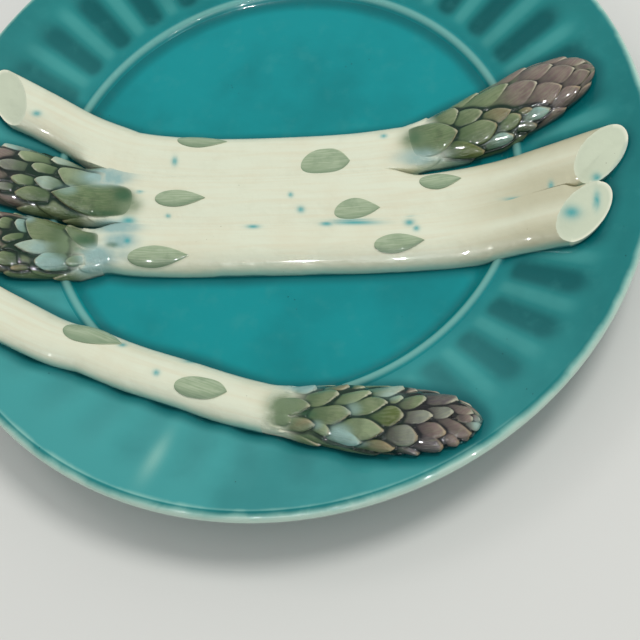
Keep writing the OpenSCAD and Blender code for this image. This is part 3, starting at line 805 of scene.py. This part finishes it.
def makeStemGlaze():
    s = stemGlaze
    glaze = Glaze("stemGlaze", s, "cream")
    cloud, fine = glaze.noise("cloud"), glaze.grain("fine")
    glaze.lay("warm", glaze.span("streaks", glaze.grain("streaks")))
    glaze.lay("warm", glaze.span("cloud", cloud))
    glaze.lay("shade", glaze.span("fine", fine))
    glaze.lay("shade", glaze.span("mottle", glaze.noise("mottle")))
    glaze.lay("shade", glaze.mask("shade"))
    height = glaze.plus(glaze.mask("footGap"), glaze.span("cloudShift", cloud))
    glaze.lay("aqua", glaze.span("aqua", height))
    glaze.lay("face", glaze.mask("faceTint"))
    # Painted highlight: a light line round the edge of each cut face, stronger on its outer half
    glaze.lay("arris", glaze.mask("arris"))
    glaze.layPatches()
    glaze.lay("teal", glaze.mask("smudge"), s["smudgeShare"])
    glaze.lay("pool", glaze.span("pool", height))
    dotted = glaze.noise("dotted")
    glaze.lay("speck", glaze.span("dots", glaze.cells(s["dotCells"])), glaze.span("dotted", dotted),
              s["dotShare"])
    ripple = glaze.times(glaze.noise("ripple"), s["rippleShare"])
    return glaze.finish(glaze.plus(glaze.times(fine, s["fineShare"]), dotted, ripple))


def makeButt(name, above):  # the slanted cut, an oval face with a wall under its outer half
    spear = spears[name]
    half = stem["columns"] - 1
    turns = 2 * half
    turn = np.linspace(math.pi, 2 * math.pi, stem["columns"])[1:-1]
    x = spear["arcMiddle"] + cutOff(spear, turn)
    wide = fullHalf(spear, spear["arcMiddle"])
    px, py = across(name, x, -wide * np.cos(turn))
    foot = footAt(name, x)
    z = baseAt(name, x, wide, (1 - np.cos(turn)) / 2) + foot + (riseAt(spear, x) - foot) * np.sin(turn)
    border = np.concatenate([above, np.stack([px, py, z], -1)])
    hubPoint = (border[turns // 4] + border[3 * turns // 4]) / 2
    rho = np.concatenate([[1], np.linspace(stem["faceStart"], 0, stem["faceRings"])[:-1]])
    sunk = np.array([0, 0, stem["faceDish"]])
    rows = [mix(hubPoint, border, ring) - sunk * (1 - ring ** 4) for ring in rho]
    outer = [*range(half, turns), 0]
    points = np.concatenate(rows + [[hubPoint - sunk], floorUnder(border[outer])])
    hub, tail = len(rows) * turns, (len(rows) - 1) * turns
    faces = gridFaces(len(rows), turns, closed=True)
    faces += [[tail + j, tail + (j + 1) % turns, hub] for j in range(turns)]
    faces += [[outer[i], outer[i + 1], hub + 2 + i, hub + 1 + i] for i in range(half)]
    faces.append([hub + 1 + i for i in range(len(outer))])
    # Painted highlight: a light line round the edge of the face, stronger on its outer half
    bright = np.where(np.arange(turns) < half, stem["arrisInner"], stem["arrisOuter"])
    arris = np.concatenate([np.outer(smooth(rho, *stem["arrisSpan"]), bright).ravel(),
                            np.zeros(1 + len(outer))])
    return points, faces, np.arange(len(points)) <= hub, arris


def makeStem(name, material):
    spear = spears[name]
    rings = int(abs(spear["arcMiddle"] - spear["join"]) / stem["spacing"])
    angle = np.linspace(0, 180, stem["columns"])
    share = np.concatenate([[0], np.linspace(stem["rimShare"], 1, rings)])[:, None]
    underTip = mix(spear["join"], spear["end"], stem["underTip"])
    x = mix(spear["arcMiddle"], underTip, share) + cutOff(spear, np.radians(angle)) * (1 - share)
    top = skin(name, x, angle + 0 * x, stem["tuck"] * ease(wayOf(spear, x) / stem["underTip"]))
    xs, side = widened(x), widened(angle - 90 + 0 * x)
    faces = gridFaces(*xs.shape, closed=True)
    faces.append(list(range(xs.size - xs.shape[1], xs.size)))
    facePoints, faceFaces, faceTint, arris = makeButt(name, top[0])
    faces += [[k + xs.size for k in face] for face in faceFaces]
    sidePoints = withSole(top).reshape(-1, 3)
    points = np.concatenate([sidePoints, facePoints])

    def masked(onSide, onFace=0.0):
        return np.concatenate([np.broadcast_to(np.ravel(onSide), xs.size),
                               np.broadcast_to(onFace, len(facePoints))])
    shade = stem["shadeShare"] * smooth(xs, *stem["shadeAlong"]) * smooth(np.abs(side), *stem["shadeAround"])
    filled = masked(grooveFill(name, xs, side > 0)) > stem["filledFrom"]
    gap = points[:, 2] - dishZ(np.hypot(points[:, 0], points[:, 1]))
    faceSmudge = spotMask(facePoints, "whole", stem["faceSmudges"].get(name, []))
    masks = {kind: masked(values) for kind, values in patchMasks(name, sidePoints).items()}
    masks.update({
        "along": np.stack([masked(xs, facePoints[:, 1]), masked(np.radians(side) * relief["stemHalf"],
                          facePoints[:, 0] * stem["faceGrain"]), masked(0)], -1),
        "footGap": np.where(filled, stem["filledGap"], gap),
        "shade": masked(shade * (spear["out"] > 0)), "faceTint": masked(0, faceTint),
        "arris": masked(0, arris),
        "smudge": masked(spotMask(sidePoints, "whole", stem["smudges"][name]), faceSmudge),
    })
    return makePiece(name + "Stem", points, faces, material, [name + "_stem"], masks)


stemMaterial = makeStemGlaze()
for name in spears:
    makeStem(name, stemMaterial)
print("stems made")

# Tips: one skin of overlapping scales over each core. The scales that the photo shows are read from it, as
# root, free point and half width in pixels of the enlargement; the rest follow in rows round the tip
tip = {
    "spacing": 0.3, "columns": 132, "startShare": -0.2, "noseSteps": 1.3, "noseEnd": 0.9995, "noseFade": 0.95,
    "metricStart": -0.3, "metricSteps": (400, 300), "rootLift": -0.15, "floorLift": -1.15,
    "liftSpan": (-0.02, 0.14), "rise": 2.0, "fillRise": 0.6, "smallRise": 0.62, "fullHalf": 12, "climb": 1.4,
    "climbEnd": 0.9, "droop": 0.1, "droopSpan": (0.82, 1), "crossFall": 0.55, "crossPower": 2.2, "wall": 1.1,
    "wallPower": 0.8, "rootWall": 2, "pointSlope": 0.7, "leastHalf": 0.05, "fillet": 0.07, "filletFull": 0.4,
    "underRead": 0.3, "readStart": -0.2, "hidden": 0.6, "hiddenEnd": 0.16, "rootWidth": 0.4, "widest": 0.45,
    "widen": 1.4, "leastRead": 1.2, "pointed": 2.0, "middleShare": 0.55, "rows": 9, "rowPower": 1.5,
    "columnAngle": 28, "edgeAngle": 6, "rowMiddle": 0.65, "plumFrom": 0.6, "plumEvery": 4, "openRows": 2,
    "openHidden": 0.2, "rimShare": 0.9, "rimPlace": 0.55, "rimWidth": 0.42, "rimSpan": (0.5, 0.85),
    "valleyDepth": 0.42, "blurSteps": 50, "nearGain": 3, "nearShare": 0.8, "bareSteps": 4, "shownWidth": 1.4,
    "shownRoot": 0.25, "bareSpan": (0.22, 0.1), "behindShare": 0.9, "behindSpan": (-0.02, -0.32),
    "poolSpan": (0.03, 0.15), "lowerSpan": (100, 40),
}
scaleTones = {
    "olive": "#6f7e5a", "sage": "#84936f", "deep": "#55632f", "green": "#617650", "grey": "#7f8376",
    "mauve": "#7c6a64",
    "plum": "#5d5558", "wash": "#8fb0a6", "pale": "#9fb3a2", "brown": "#7d7456",
}
scaleReadings = {
    "side": ("sideTip", [
        (130, 350, 385, 345, 54, "olive"), (370, 300, 570, 270, 44, "olive"),
        (400, 410, 640, 395, 56, "olive"), (400, 480, 510, 525, 38, "sage"),
        (215, 470, 415, 475, 42, "brown"), (560, 300, 775, 262, 34, "sage"),
        (620, 350, 875, 322, 50, "olive"), (540, 500, 850, 505, 64, "sage"),
        (770, 410, 975, 410, 58, "deep"), (770, 250, 985, 240, 24, "pale"),
        (950, 330, 1120, 300, 38, "olive"), (870, 310, 970, 290, 26, "sage"),
        (975, 420, 1155, 405, 42, "grey"), (880, 540, 1065, 555, 60, "grey"),
        (690, 600, 920, 625, 34, "brown"), (500, 530, 710, 585, 44, "wash"),
        (1070, 490, 1245, 520, 46, "mauve"), (1140, 385, 1290, 385, 38, "grey"),
        (1270, 350, 1410, 390, 28, "mauve"), (1110, 280, 1320, 310, 26, "plum"),
        (1220, 460, 1400, 525, 54, "mauve"), (1055, 600, 1230, 610, 50, "plum"),
        (940, 640, 1080, 660, 26, "plum"), (1215, 570, 1330, 585, 42, "mauve"),
        (1320, 420, 1410, 430, 30, "mauve"), (1370, 470, 1460, 475, 34, "pale"),
        (1385, 405, 1450, 430, 24, "mauve"), (1310, 560, 1395, 570, 30, "plum"),
        (490, 225, 640, 225, 16, "brown"), (150, 440, 265, 450, 36, "olive"),
        (280, 225, 430, 235, 24, "wash"),
    ]),
    "middle": ("leftTips", [
        (1320, 770, 445, 660, 135, "green"), (860, 560, 520, 450, 72, "sage"),
        (480, 440, 275, 400, 42, "sage"), (440, 350, 150, 300, 42, "sage"),
        (760, 410, 455, 345, 34, "pale"), (380, 290, 0, 210, 42, "wash"), (280, 560, 75, 525, 48, "sage"),
        (540, 600, 300, 535, 58, "pale"), (400, 690, 115, 670, 68, "olive"),
        (190, 410, -40, 380, 48, "grey"), (80, 620, -60, 600, 40, "grey"),
    ]),
    "lower": ("leftTips", [
        (640, 920, 340, 810, 36, "brown"), (560, 1050, 230, 910, 80, "olive"),
        (960, 1120, 585, 985, 52, "olive"), (760, 930, 620, 885, 22, "brown"),
        (290, 980, 120, 920, 48, "wash"), (560, 1170, 100, 1150, 66, "pale"),
        (180, 1060, 0, 1090, 44, "olive"), (570, 1320, 290, 1300, 78, "wash"),
        (740, 1300, 580, 1320, 48, "sage"), (110, 1290, -60, 1270, 60, "olive"),
        (230, 1370, 70, 1370, 28, "brown"), (520, 1390, 390, 1385, 20, "brown"),
        (100, 940, -30, 920, 48, "olive"), (110, 820, -60, 810, 28, "sage"),
        (250, 830, 95, 805, 24, "sage"),
    ]),
    "upper": ("rightTip", [
        (185, 240, 515, 170, 80, "green"), (460, 290, 680, 300, 50, "deep"),
        (540, 230, 750, 135, 60, "olive"), (690, 265, 850, 205, 34, "wash"),
        (750, 160, 890, 90, 42, "olive"), (470, 110, 665, 60, 40, "olive"),
        (640, 120, 830, 50, 42, "brown"), (890, 110, 1060, 50, 34, "wash"),
        (880, 170, 985, 145, 24, "grey"), (370, 120, 520, 50, 34, "olive"), (860, 75, 950, 45, 22, "brown"),
    ]),
}


def tipMetric(name):  # shares of a tip's length, and the lengths along its surface from its join
    spear = spears[name]
    straight, bend = tip["metricSteps"]
    belly = relief["swellShare"]
    nearEnd = mix(belly, 1, np.sin(np.linspace(0, math.pi / 2, bend)))
    v = np.concatenate([np.linspace(tip["metricStart"], belly, straight), nearEnd[1:]])
    x = mix(spear["join"], spear["end"], v)
    length = np.concatenate([[0], np.cumsum(np.hypot(np.diff(x), np.diff(riseAt(spear, x))))])
    return v, length - np.interp(0, v, length)


def leafHalf(s, half, widest, power, rootWidth=0.0):  # half width of a leaf from its root, 0, to its point, 1
    before = mix(rootWidth, 1, np.sqrt(np.maximum(0, 1 - ((widest - s) / widest) ** 2)))
    after = np.maximum(0, 1 - clamp((s - widest) / (1 - widest)) ** power)
    return half * np.where(s < widest, before, after)


def readScales(name):
    spear = spears[name]
    window, rows = scaleReadings[name]
    v, length = tipMetric(name)
    found = []
    for *ends, half, shade in rows:
        *ends, one, other = leafSpots(name, window, ends, half, tip["middleShare"])
        root, point = [(np.interp(wayOf(spear, x), v, length), angle) for x, angle in ends]
        body = bodyAcross(spear, (one[0] + other[0]) / 2)
        wide = tip["widen"] * abs(math.radians(one[1] - other[1])) * body / 2
        found.append({"root": root, "point": point, "half": max(tip["leastRead"], wide), "tone": shade,
                      "rise": 1, "hidden": ease(np.interp(root[0], length, v) / tip["hiddenEnd"])})
    return found


def rowWay(row):
    return 0 if row < 0 else 1 - (1 - (row + 1) / tip["rows"]) ** tip["rowPower"]


def fillScales(name):  # rows of scales round the whole tip, which show where the photo gives none
    spear = spears[name]
    v, length = tipMetric(name)
    columns = int(round((180 - 2 * tip["edgeAngle"]) / tip["columnAngle"]))
    filled = []
    for row in range(tip["rows"]):
        root, point = np.interp(rowWay(row - 2), v, length), np.interp(rowWay(row), v, length)
        middle = np.interp(mix(root, point, tip["rowMiddle"]), length, v)
        half = math.radians(tip["columnAngle"]) * bodyAcross(spear, mix(spear["join"], spear["end"], middle))
        for column in range((row + 1) % 2, columns + 1, 2):
            angle = tip["edgeAngle"] + column * tip["columnAngle"]
            late = "mauve" if (row + column) % tip["plumEvery"] else "plum"
            shade = "olive" if rowWay(row) < tip["plumFrom"] else late
            hidden = 1 if row >= tip["openRows"] else tip["openHidden"]
            filled.append({"root": (root, angle), "point": (point, angle), "half": half, "tone": shade,
                           "rise": tip["fillRise"], "hidden": hidden})
    return filled


def shapeScale(scale, length, angle, body):  # height, distance to the border, and way from root to point
    t = tip
    (rootAt, rootAngle), (pointAt, pointAngle) = scale["root"], scale["point"]
    size = pointAt - rootAt
    s = (length - rootAt) / size
    hidden = t["hidden"] * scale["hidden"]
    q = (s + hidden) / (1 + hidden)
    aside = np.abs(np.radians(angle - mix(rootAngle, pointAngle, s)) * body)
    widest = (t["widest"] + hidden) / (1 + hidden)
    half = leafHalf(clamp(q), scale["half"], widest, t["pointed"], t["rootWidth"] * scale["hidden"])
    border = np.minimum(half - aside, (1 - s) * size * t["pointSlope"])
    border = np.where((q < 0) | (q > 1), -1, border)
    climb = clamp(q / t["climbEnd"]) ** t["climb"] - t["droop"] * smooth(s, *t["droopSpan"])
    cross = 1 - t["crossFall"] * clamp(aside / np.maximum(half, t["leastHalf"])) ** t["crossPower"]
    wall = ease(border / t["wall"]) ** t["wallPower"] * ease((length - min(0, rootAt)) / t["rootWall"])
    rise = t["rise"] * scale["rise"] * min(1, t["smallRise"] + scale["half"] / t["fullHalf"])
    return rise * climb * cross * wall, border, s


def softened(grid, steps):
    for _ in range(steps):
        padded = np.pad(grid, 1, mode="edge")
        grid = (padded[:-2, 1:-1] + padded[2:, 1:-1] + padded[1:-1, :-2] + padded[1:-1, 2:] + 2 * grid) / 6
    return grid


def makeTip(name, material):
    spear, t = spears[name], tip
    long, belly = abs(spear["end"] - spear["join"]), relief["swellShare"]
    straight = np.linspace(t["startShare"], belly, int(long * (belly - t["startShare"]) / t["spacing"]))
    bend = np.linspace(0, math.pi / 2, int(long * (1 - belly) * t["noseSteps"] / t["spacing"]))
    way = np.concatenate([straight, mix(belly, t["noseEnd"], np.sin(bend))[1:]])
    v, a = np.meshgrid(way, np.linspace(0, 180, t["columns"]), indexing="ij")
    x = mix(spear["join"], spear["end"], v)
    length = np.interp(v, *tipMetric(name))
    body = bodyAcross(spear, x)
    read = readScales(name)
    scales = read + fillScales(name)
    shaped = [shapeScale(scale, length, a, body) for scale in scales]
    heights, borders, starts = [np.stack(part) for part in zip(*shaped)]
    first, rest = slice(0, len(read)), slice(len(read), None)
    covered = ((borders[first] > 0) & (starts[first] > t["readStart"])).any(0)
    under = np.minimum(heights[rest], heights[first].max(0) - t["underRead"])
    heights[rest] = np.where(covered, under, heights[rest])
    highest = heights.max(0)
    weight = np.exp((heights - highest) / t["fillet"])
    share = weight / weight.sum(0)
    fillet = t["fillet"] * (np.log(weight.sum(0)) - math.log(2) / 2) * clamp(highest / t["filletFull"])
    high = np.maximum(0, highest + fillet)
    along = (share * np.clip(starts, -1, 1)).sum(0)
    # Border of the scale on top, for its edge line: thinned glaze and painted highlight
    border = ((share * borders).sum(0) - t["rimPlace"]) / t["rimWidth"]
    shown = (ease(borders[first] / t["shownWidth"]) * ease(starts[first] / t["shownRoot"])).max(0)
    # Pooled glaze and painted shade in the hollows between scales, in the gaps round the read scales and on
    # hidden parts of scales that show
    near = clamp(softened(covered.astype(float), t["blurSteps"]) * t["nearGain"]) * (1 - share[first].sum(0))
    pool = np.max([clamp((softened(high, t["blurSteps"]) - high) / t["valleyDepth"]), near * t["nearShare"],
                   t["behindShare"] * smooth(along, *t["behindSpan"])], axis=0)
    floor = mix(t["rootLift"], t["floorLift"], smooth(v, *t["liftSpan"]))
    ring = withSole(skin(name, x, a, floor + softened(high, 1) * smooth(v, 1, t["noseFade"])))
    rows, columns = ring.shape[:2]
    faces = gridFaces(rows, columns, closed=True)
    faces += [list(range(columns))[::-1], list(range((rows - 1) * columns, rows * columns))]
    points = ring.reshape(-1, 3)
    grids = {
        "tint": np.einsum("kij,kc->ijc", share, [paint(scaleTones[scale["tone"]])[:3] for scale in scales]),
        "grade": clamp(along), "rim": t["rimShare"] * np.exp(-border ** 2) * smooth(along, *t["rimSpan"]),
        "pool": pool * smooth(v, *t["poolSpan"]), "way": v, "lower": smooth(a, *t["lowerSpan"]),
        "bare": (1 - softened(shown, t["bareSteps"])) * smooth(v, *t["bareSpan"]),
        "along": np.stack([length, np.radians(a) * body, 0 * a], -1),
    }
    masks = {mask: widened(grid).reshape(-1, *grid.shape[2:]) for mask, grid in grids.items()}
    masks.update(patchMasks(name, points), footGap=points[:, 2] - dishZ(np.hypot(points[:, 0], points[:, 1])))
    return makePiece(name + "Scales", points, faces, material, [name + "_scales", name + "_tip"],
                     masks, smoothing["scaleCrease"])


scaleGlaze = {
    "coat": 0.5, "bump": 0.4, "tones": {
        "valley": "#08281a", "plumValley": "#131619", "ivory": "#d2cfb4", "tan": "#a8885f",
        "light": "#9aa07c", "bare": "#d7d9c1", "root": "#3f5836", "plumRoot": "#3c3536", "pool": "#00585a",
    },
    "noises": {"cloud": (240, 4), "chips": (420, 2)}, "grains": {"streaks": ((0.25, 1.6, 1), 4)},
    "spans": {
        "wayShift": (0.3, 0.7, -0.05, 0.05), "plum": (0.52, 0.72), "streaks": (0.35, 0.7, 0, 0.3),
        "cloud": (0.45, 0.75, 0, 0.3), "roots": (0, 0.7, 0.75, 0), "chips": (0.3, 0.6, 0.6, 1),
        "valleyPoolAndShade": (0.1, 0.8, 0, 0.97), "patched": (0.3, 1, 1, 0.35), "gapShift": (0.3, 0.7, -0.3, 0.3),
        "foot": (0.2, 1.8, 0.9, 0),
    },
    "tanShare": 0.75, "streakShare": 0.4,
}


def makeScaleGlaze():
    glaze = Glaze("scaleGlaze", scaleGlaze, "light")
    streaks, cloud, chips = glaze.grain("streaks"), glaze.noise("cloud"), glaze.noise("chips")
    plum = glaze.span("plum", glaze.plus(glaze.mask("way"), glaze.span("wayShift", cloud)))
    valley, pool = glaze.blend(plum, "valley", "plumValley"), glaze.mask("pool")
    glaze.colour = glaze.mask("tint", "Vector")
    glaze.lay("light", glaze.span("streaks", streaks))
    glaze.lay(valley, glaze.span("cloud", cloud))
    # Darker towards each scale's root: darker glaze and painted shade under the scale before it
    glaze.lay(glaze.blend(plum, "root", "plumRoot"), glaze.span("roots", glaze.mask("grade")))
    # Partly glaze thinned over the free edges of the scales, partly a painted highlight along them, ivory
    # turning tan towards the near edge
    edge = glaze.blend(glaze.times(glaze.mask("lower"), scaleGlaze["tanShare"]), "ivory", "tan")
    glaze.lay(edge, glaze.mask("rim"), glaze.span("chips", chips))
    # Pooled glaze and painted shade in the hollows between scales
    glaze.lay(valley, glaze.span("valleyPoolAndShade", pool))
    glaze.lay("bare", glaze.mask("bare"))
    plain = glaze.colour
    glaze.layPatches()
    glaze.colour = glaze.blend(glaze.span("patched", pool), plain, glaze.colour)
    gap = glaze.plus(glaze.mask("footGap"), glaze.span("gapShift", cloud))
    glaze.lay("pool", glaze.span("foot", gap))
    return glaze.finish(glaze.plus(chips, glaze.times(streaks, scaleGlaze["streakShare"])))


scaleMaterial = makeScaleGlaze()
for name in spears:
    makeTip(name, scaleMaterial)
print("tips made")

# Bracts on the stems: left end, right end and half width, in pixels of the enlargement, and whether the right
# end is blunt
bract = {
    "rows": 34, "columns": 19, "crown": 0.75, "border": 0.28, "under": -0.5, "widest": 0.42, "pointed": 1.7,
    "blunt": 3.2, "leastAngle": 20, "mostAngle": 36, "edgeAngle": 12, "domePower": 2.5,
    "middleShare": 0.5, "shadeSpan": (0.1, 1), "shadeShare": 0.9, "endSpan": (0.75, 1), "endShare": 0.35,
    "rimWidth": 0.1, "rimSpan": (0.5, 0.9), "readings": {
        "upper": [(435, 97, 556, 103, 17, False), (738, 160, 858, 148, 26, True)],
        "middle": [(380, 240, 503, 240, 20, False), (820, 274, 931, 262, 23, False),
                   (1027, 200, 1131, 192, 16, False)],
        "lower": [(313, 384, 463, 380, 27, False), (917, 356, 1041, 342, 24, False)],
        "side": [(158, 556, 298, 598, 27, False), (428, 694, 556, 714, 28, True)],
    },
}
bractGlaze = {
    "coat": 0.4, "bump": 0.2,
    "tones": {"leaf": "#93a484", "shade": "#70866a", "pale": "#a9b698", "edge": "#c8cdae"},
    "noises": {"mottle": (260, 3), "ripple": (200, 2)}, "grains": {"streaks": ((0.12, 2.2, 1), 4)},
    "spans": {"streaks": (0.35, 0.7), "mottle": (0.45, 0.75, 0, 0.35)},
    "shadeShare": 0.8, "edgeShare": 0.55, "streakShare": 0.8,
}


def makeBractGlaze():
    glaze = Glaze("bractGlaze", bractGlaze, "leaf")
    streaks = glaze.grain("streaks")
    glaze.lay("pale", glaze.span("streaks", streaks))
    glaze.lay("shade", glaze.span("mottle", glaze.noise("mottle")))
    glaze.lay("shade", glaze.mask("shade"), bractGlaze["shadeShare"])
    # Painted highlight along the leaf's borders
    glaze.lay("edge", glaze.mask("rim"), bractGlaze["edgeShare"])
    return glaze.finish(glaze.plus(glaze.times(streaks, bractGlaze["streakShare"]), glaze.noise("ripple")))


def makeBracts(name, material):
    spear, b = spears[name], bract
    s = (1 - np.cos(np.linspace(0, math.pi, b["rows"]))) / 2
    t = np.sin(np.linspace(-math.pi / 2, math.pi / 2, b["columns"]))
    gs, gt = np.meshgrid(s, t, indexing="ij")
    dome = (1 - np.abs(gt) ** b["domePower"]) * np.sqrt(np.maximum(0, np.sin(math.pi * gs)))
    lift = mix(b["border"], b["crown"], dome)
    lift[[0, -1]] = -b["border"]
    lift[:, [0, -1]] = -b["border"]
    end = b["endShare"] * smooth(gs, *b["endSpan"])
    shade = clamp(smooth(-gt, *b["shadeSpan"]) * b["shadeShare"] + end)
    # Painted highlight: a light line along the leaf's borders towards its right end
    rim = np.exp(-((1 - np.abs(gt)) / b["rimWidth"]) ** 2) * smooth(gs, *b["rimSpan"])
    points, faces, alongs = np.empty((0, 3)), [], []
    for *ends, half, blunt in b["readings"][name]:
        left, right, one, other = leafSpots(name, "whole", ends, half, b["middleShare"])
        halfAngle = min(b["mostAngle"], max(abs(one[1] - other[1]) / 2, b["leastAngle"]))
        sides = (b["edgeAngle"] + halfAngle, 180 - b["edgeAngle"] - halfAngle)
        spread = leafHalf(gs, halfAngle, b["widest"], b["blunt"] if blunt else b["pointed"])
        x = mix(left[0], right[0], gs)
        angle = mix(np.clip(left[1], *sides), np.clip(right[1], *sides), gs) + spread * gt
        under = skin(name, x, angle, np.minimum(lift, b["under"]))
        newPoints, newFaces = shell(skin(name, x, angle, lift), under, len(points))
        points = np.concatenate([points, newPoints])
        faces += newFaces
        body = bodyAcross(spear, (left[0] + right[0]) / 2)
        alongs += [np.stack([x, np.radians(angle) * body, 0 * x], -1).reshape(-1, 3)] * 2
    masks = {"along": np.concatenate(alongs)}
    for mask, grid in (("shade", shade), ("rim", rim)):
        masks[mask] = np.tile(grid.ravel(), len(alongs))
    return makePiece(name + "Bracts", points, faces, material, [name + "_bracts"], masks)


bractMaterial = makeBractGlaze()
for name in spears:
    makeBracts(name, bractMaterial)
print("bracts made")

# Lights, floor and world. Each lamp: way to it from the plate, as the camera sees it, size, power, and
# whether the glaze mirrors it
light = {
    "world": 0.62, "sky": (0.95, 0.98, 1, 1), "away": 1.6, "floorReach": 3, "floorDrop": 0.0002,
    "floor": {"roughness": 0.5, "mirror": 0.5, "coat": 0, "tones": {"floor": "#d6d5cf"}}, "lamps": {
        "key": ((0.38, 0.12, 0.92), 0.5, 10.8, False), "left": ((-0.3, 0.5, 0.8), 0.4, 2, False),
        "glintA": ((-0.46, -0.70, 0.55), 0.04, 7, True), "glintB": ((-0.17, -0.87, 0.4), 0.04, 7, True),
        "glintC": ((-0.34, -0.80, 0.5), 0.04, 6, True), "glintD": ((-0.17, -0.56, 0.8), 0.04, 5, True),
        "glintE": ((0.12, -0.73, 0.66), 0.04, 7, True), "glintF": ((-0.62, -0.48, 0.62), 0.04, 5, True),
        "glintG": ((0.3, -0.84, 0.45), 0.04, 5, True),
    },
}


def makeLight(name, way, size, power, mirrored):
    data = bpy.data.lights.new(name, "AREA")
    data.shape = "DISK"
    data.size = size
    data.energy = power
    lamp = bpy.data.objects.new(name, data)
    lamp.visible_glossy = mirrored
    lamp.visible_diffuse = not mirrored
    direction = Vector((*turnAbout(camera["azimuth"], way[0], way[1]), way[2])).normalized()
    lamp.location = direction * light["away"]
    lamp.rotation_euler = direction.to_track_quat("Z", "Y").to_euler()
    bpy.context.scene.collection.objects.link(lamp)


def makeSurroundings():
    world = bpy.data.worlds.new("room")
    world.use_nodes = True
    world.node_tree.nodes["Background"].inputs["Color"].default_value = light["sky"]
    world.node_tree.nodes["Background"].inputs["Strength"].default_value = light["world"]
    bpy.context.scene.world = world
    for name, lamp in light["lamps"].items():
        makeLight(name, *lamp)
    reach = light["floorReach"]
    mesh = bpy.data.meshes.new("floor")
    corners = [(-reach, -reach, 0), (reach, -reach, 0), (reach, reach, 0), (-reach, reach, 0)]
    mesh.from_pydata(corners, [], [range(len(corners))])
    floor = bpy.data.objects.new("floor", mesh)
    floor.location.z = -light["floorDrop"]
    bpy.context.scene.collection.objects.link(floor)
    mesh.materials.append(Glaze("table", light["floor"], "floor").finish())


makeSurroundings()
bpy.context.scene.view_settings.view_transform = "Standard"
print("surroundings made")
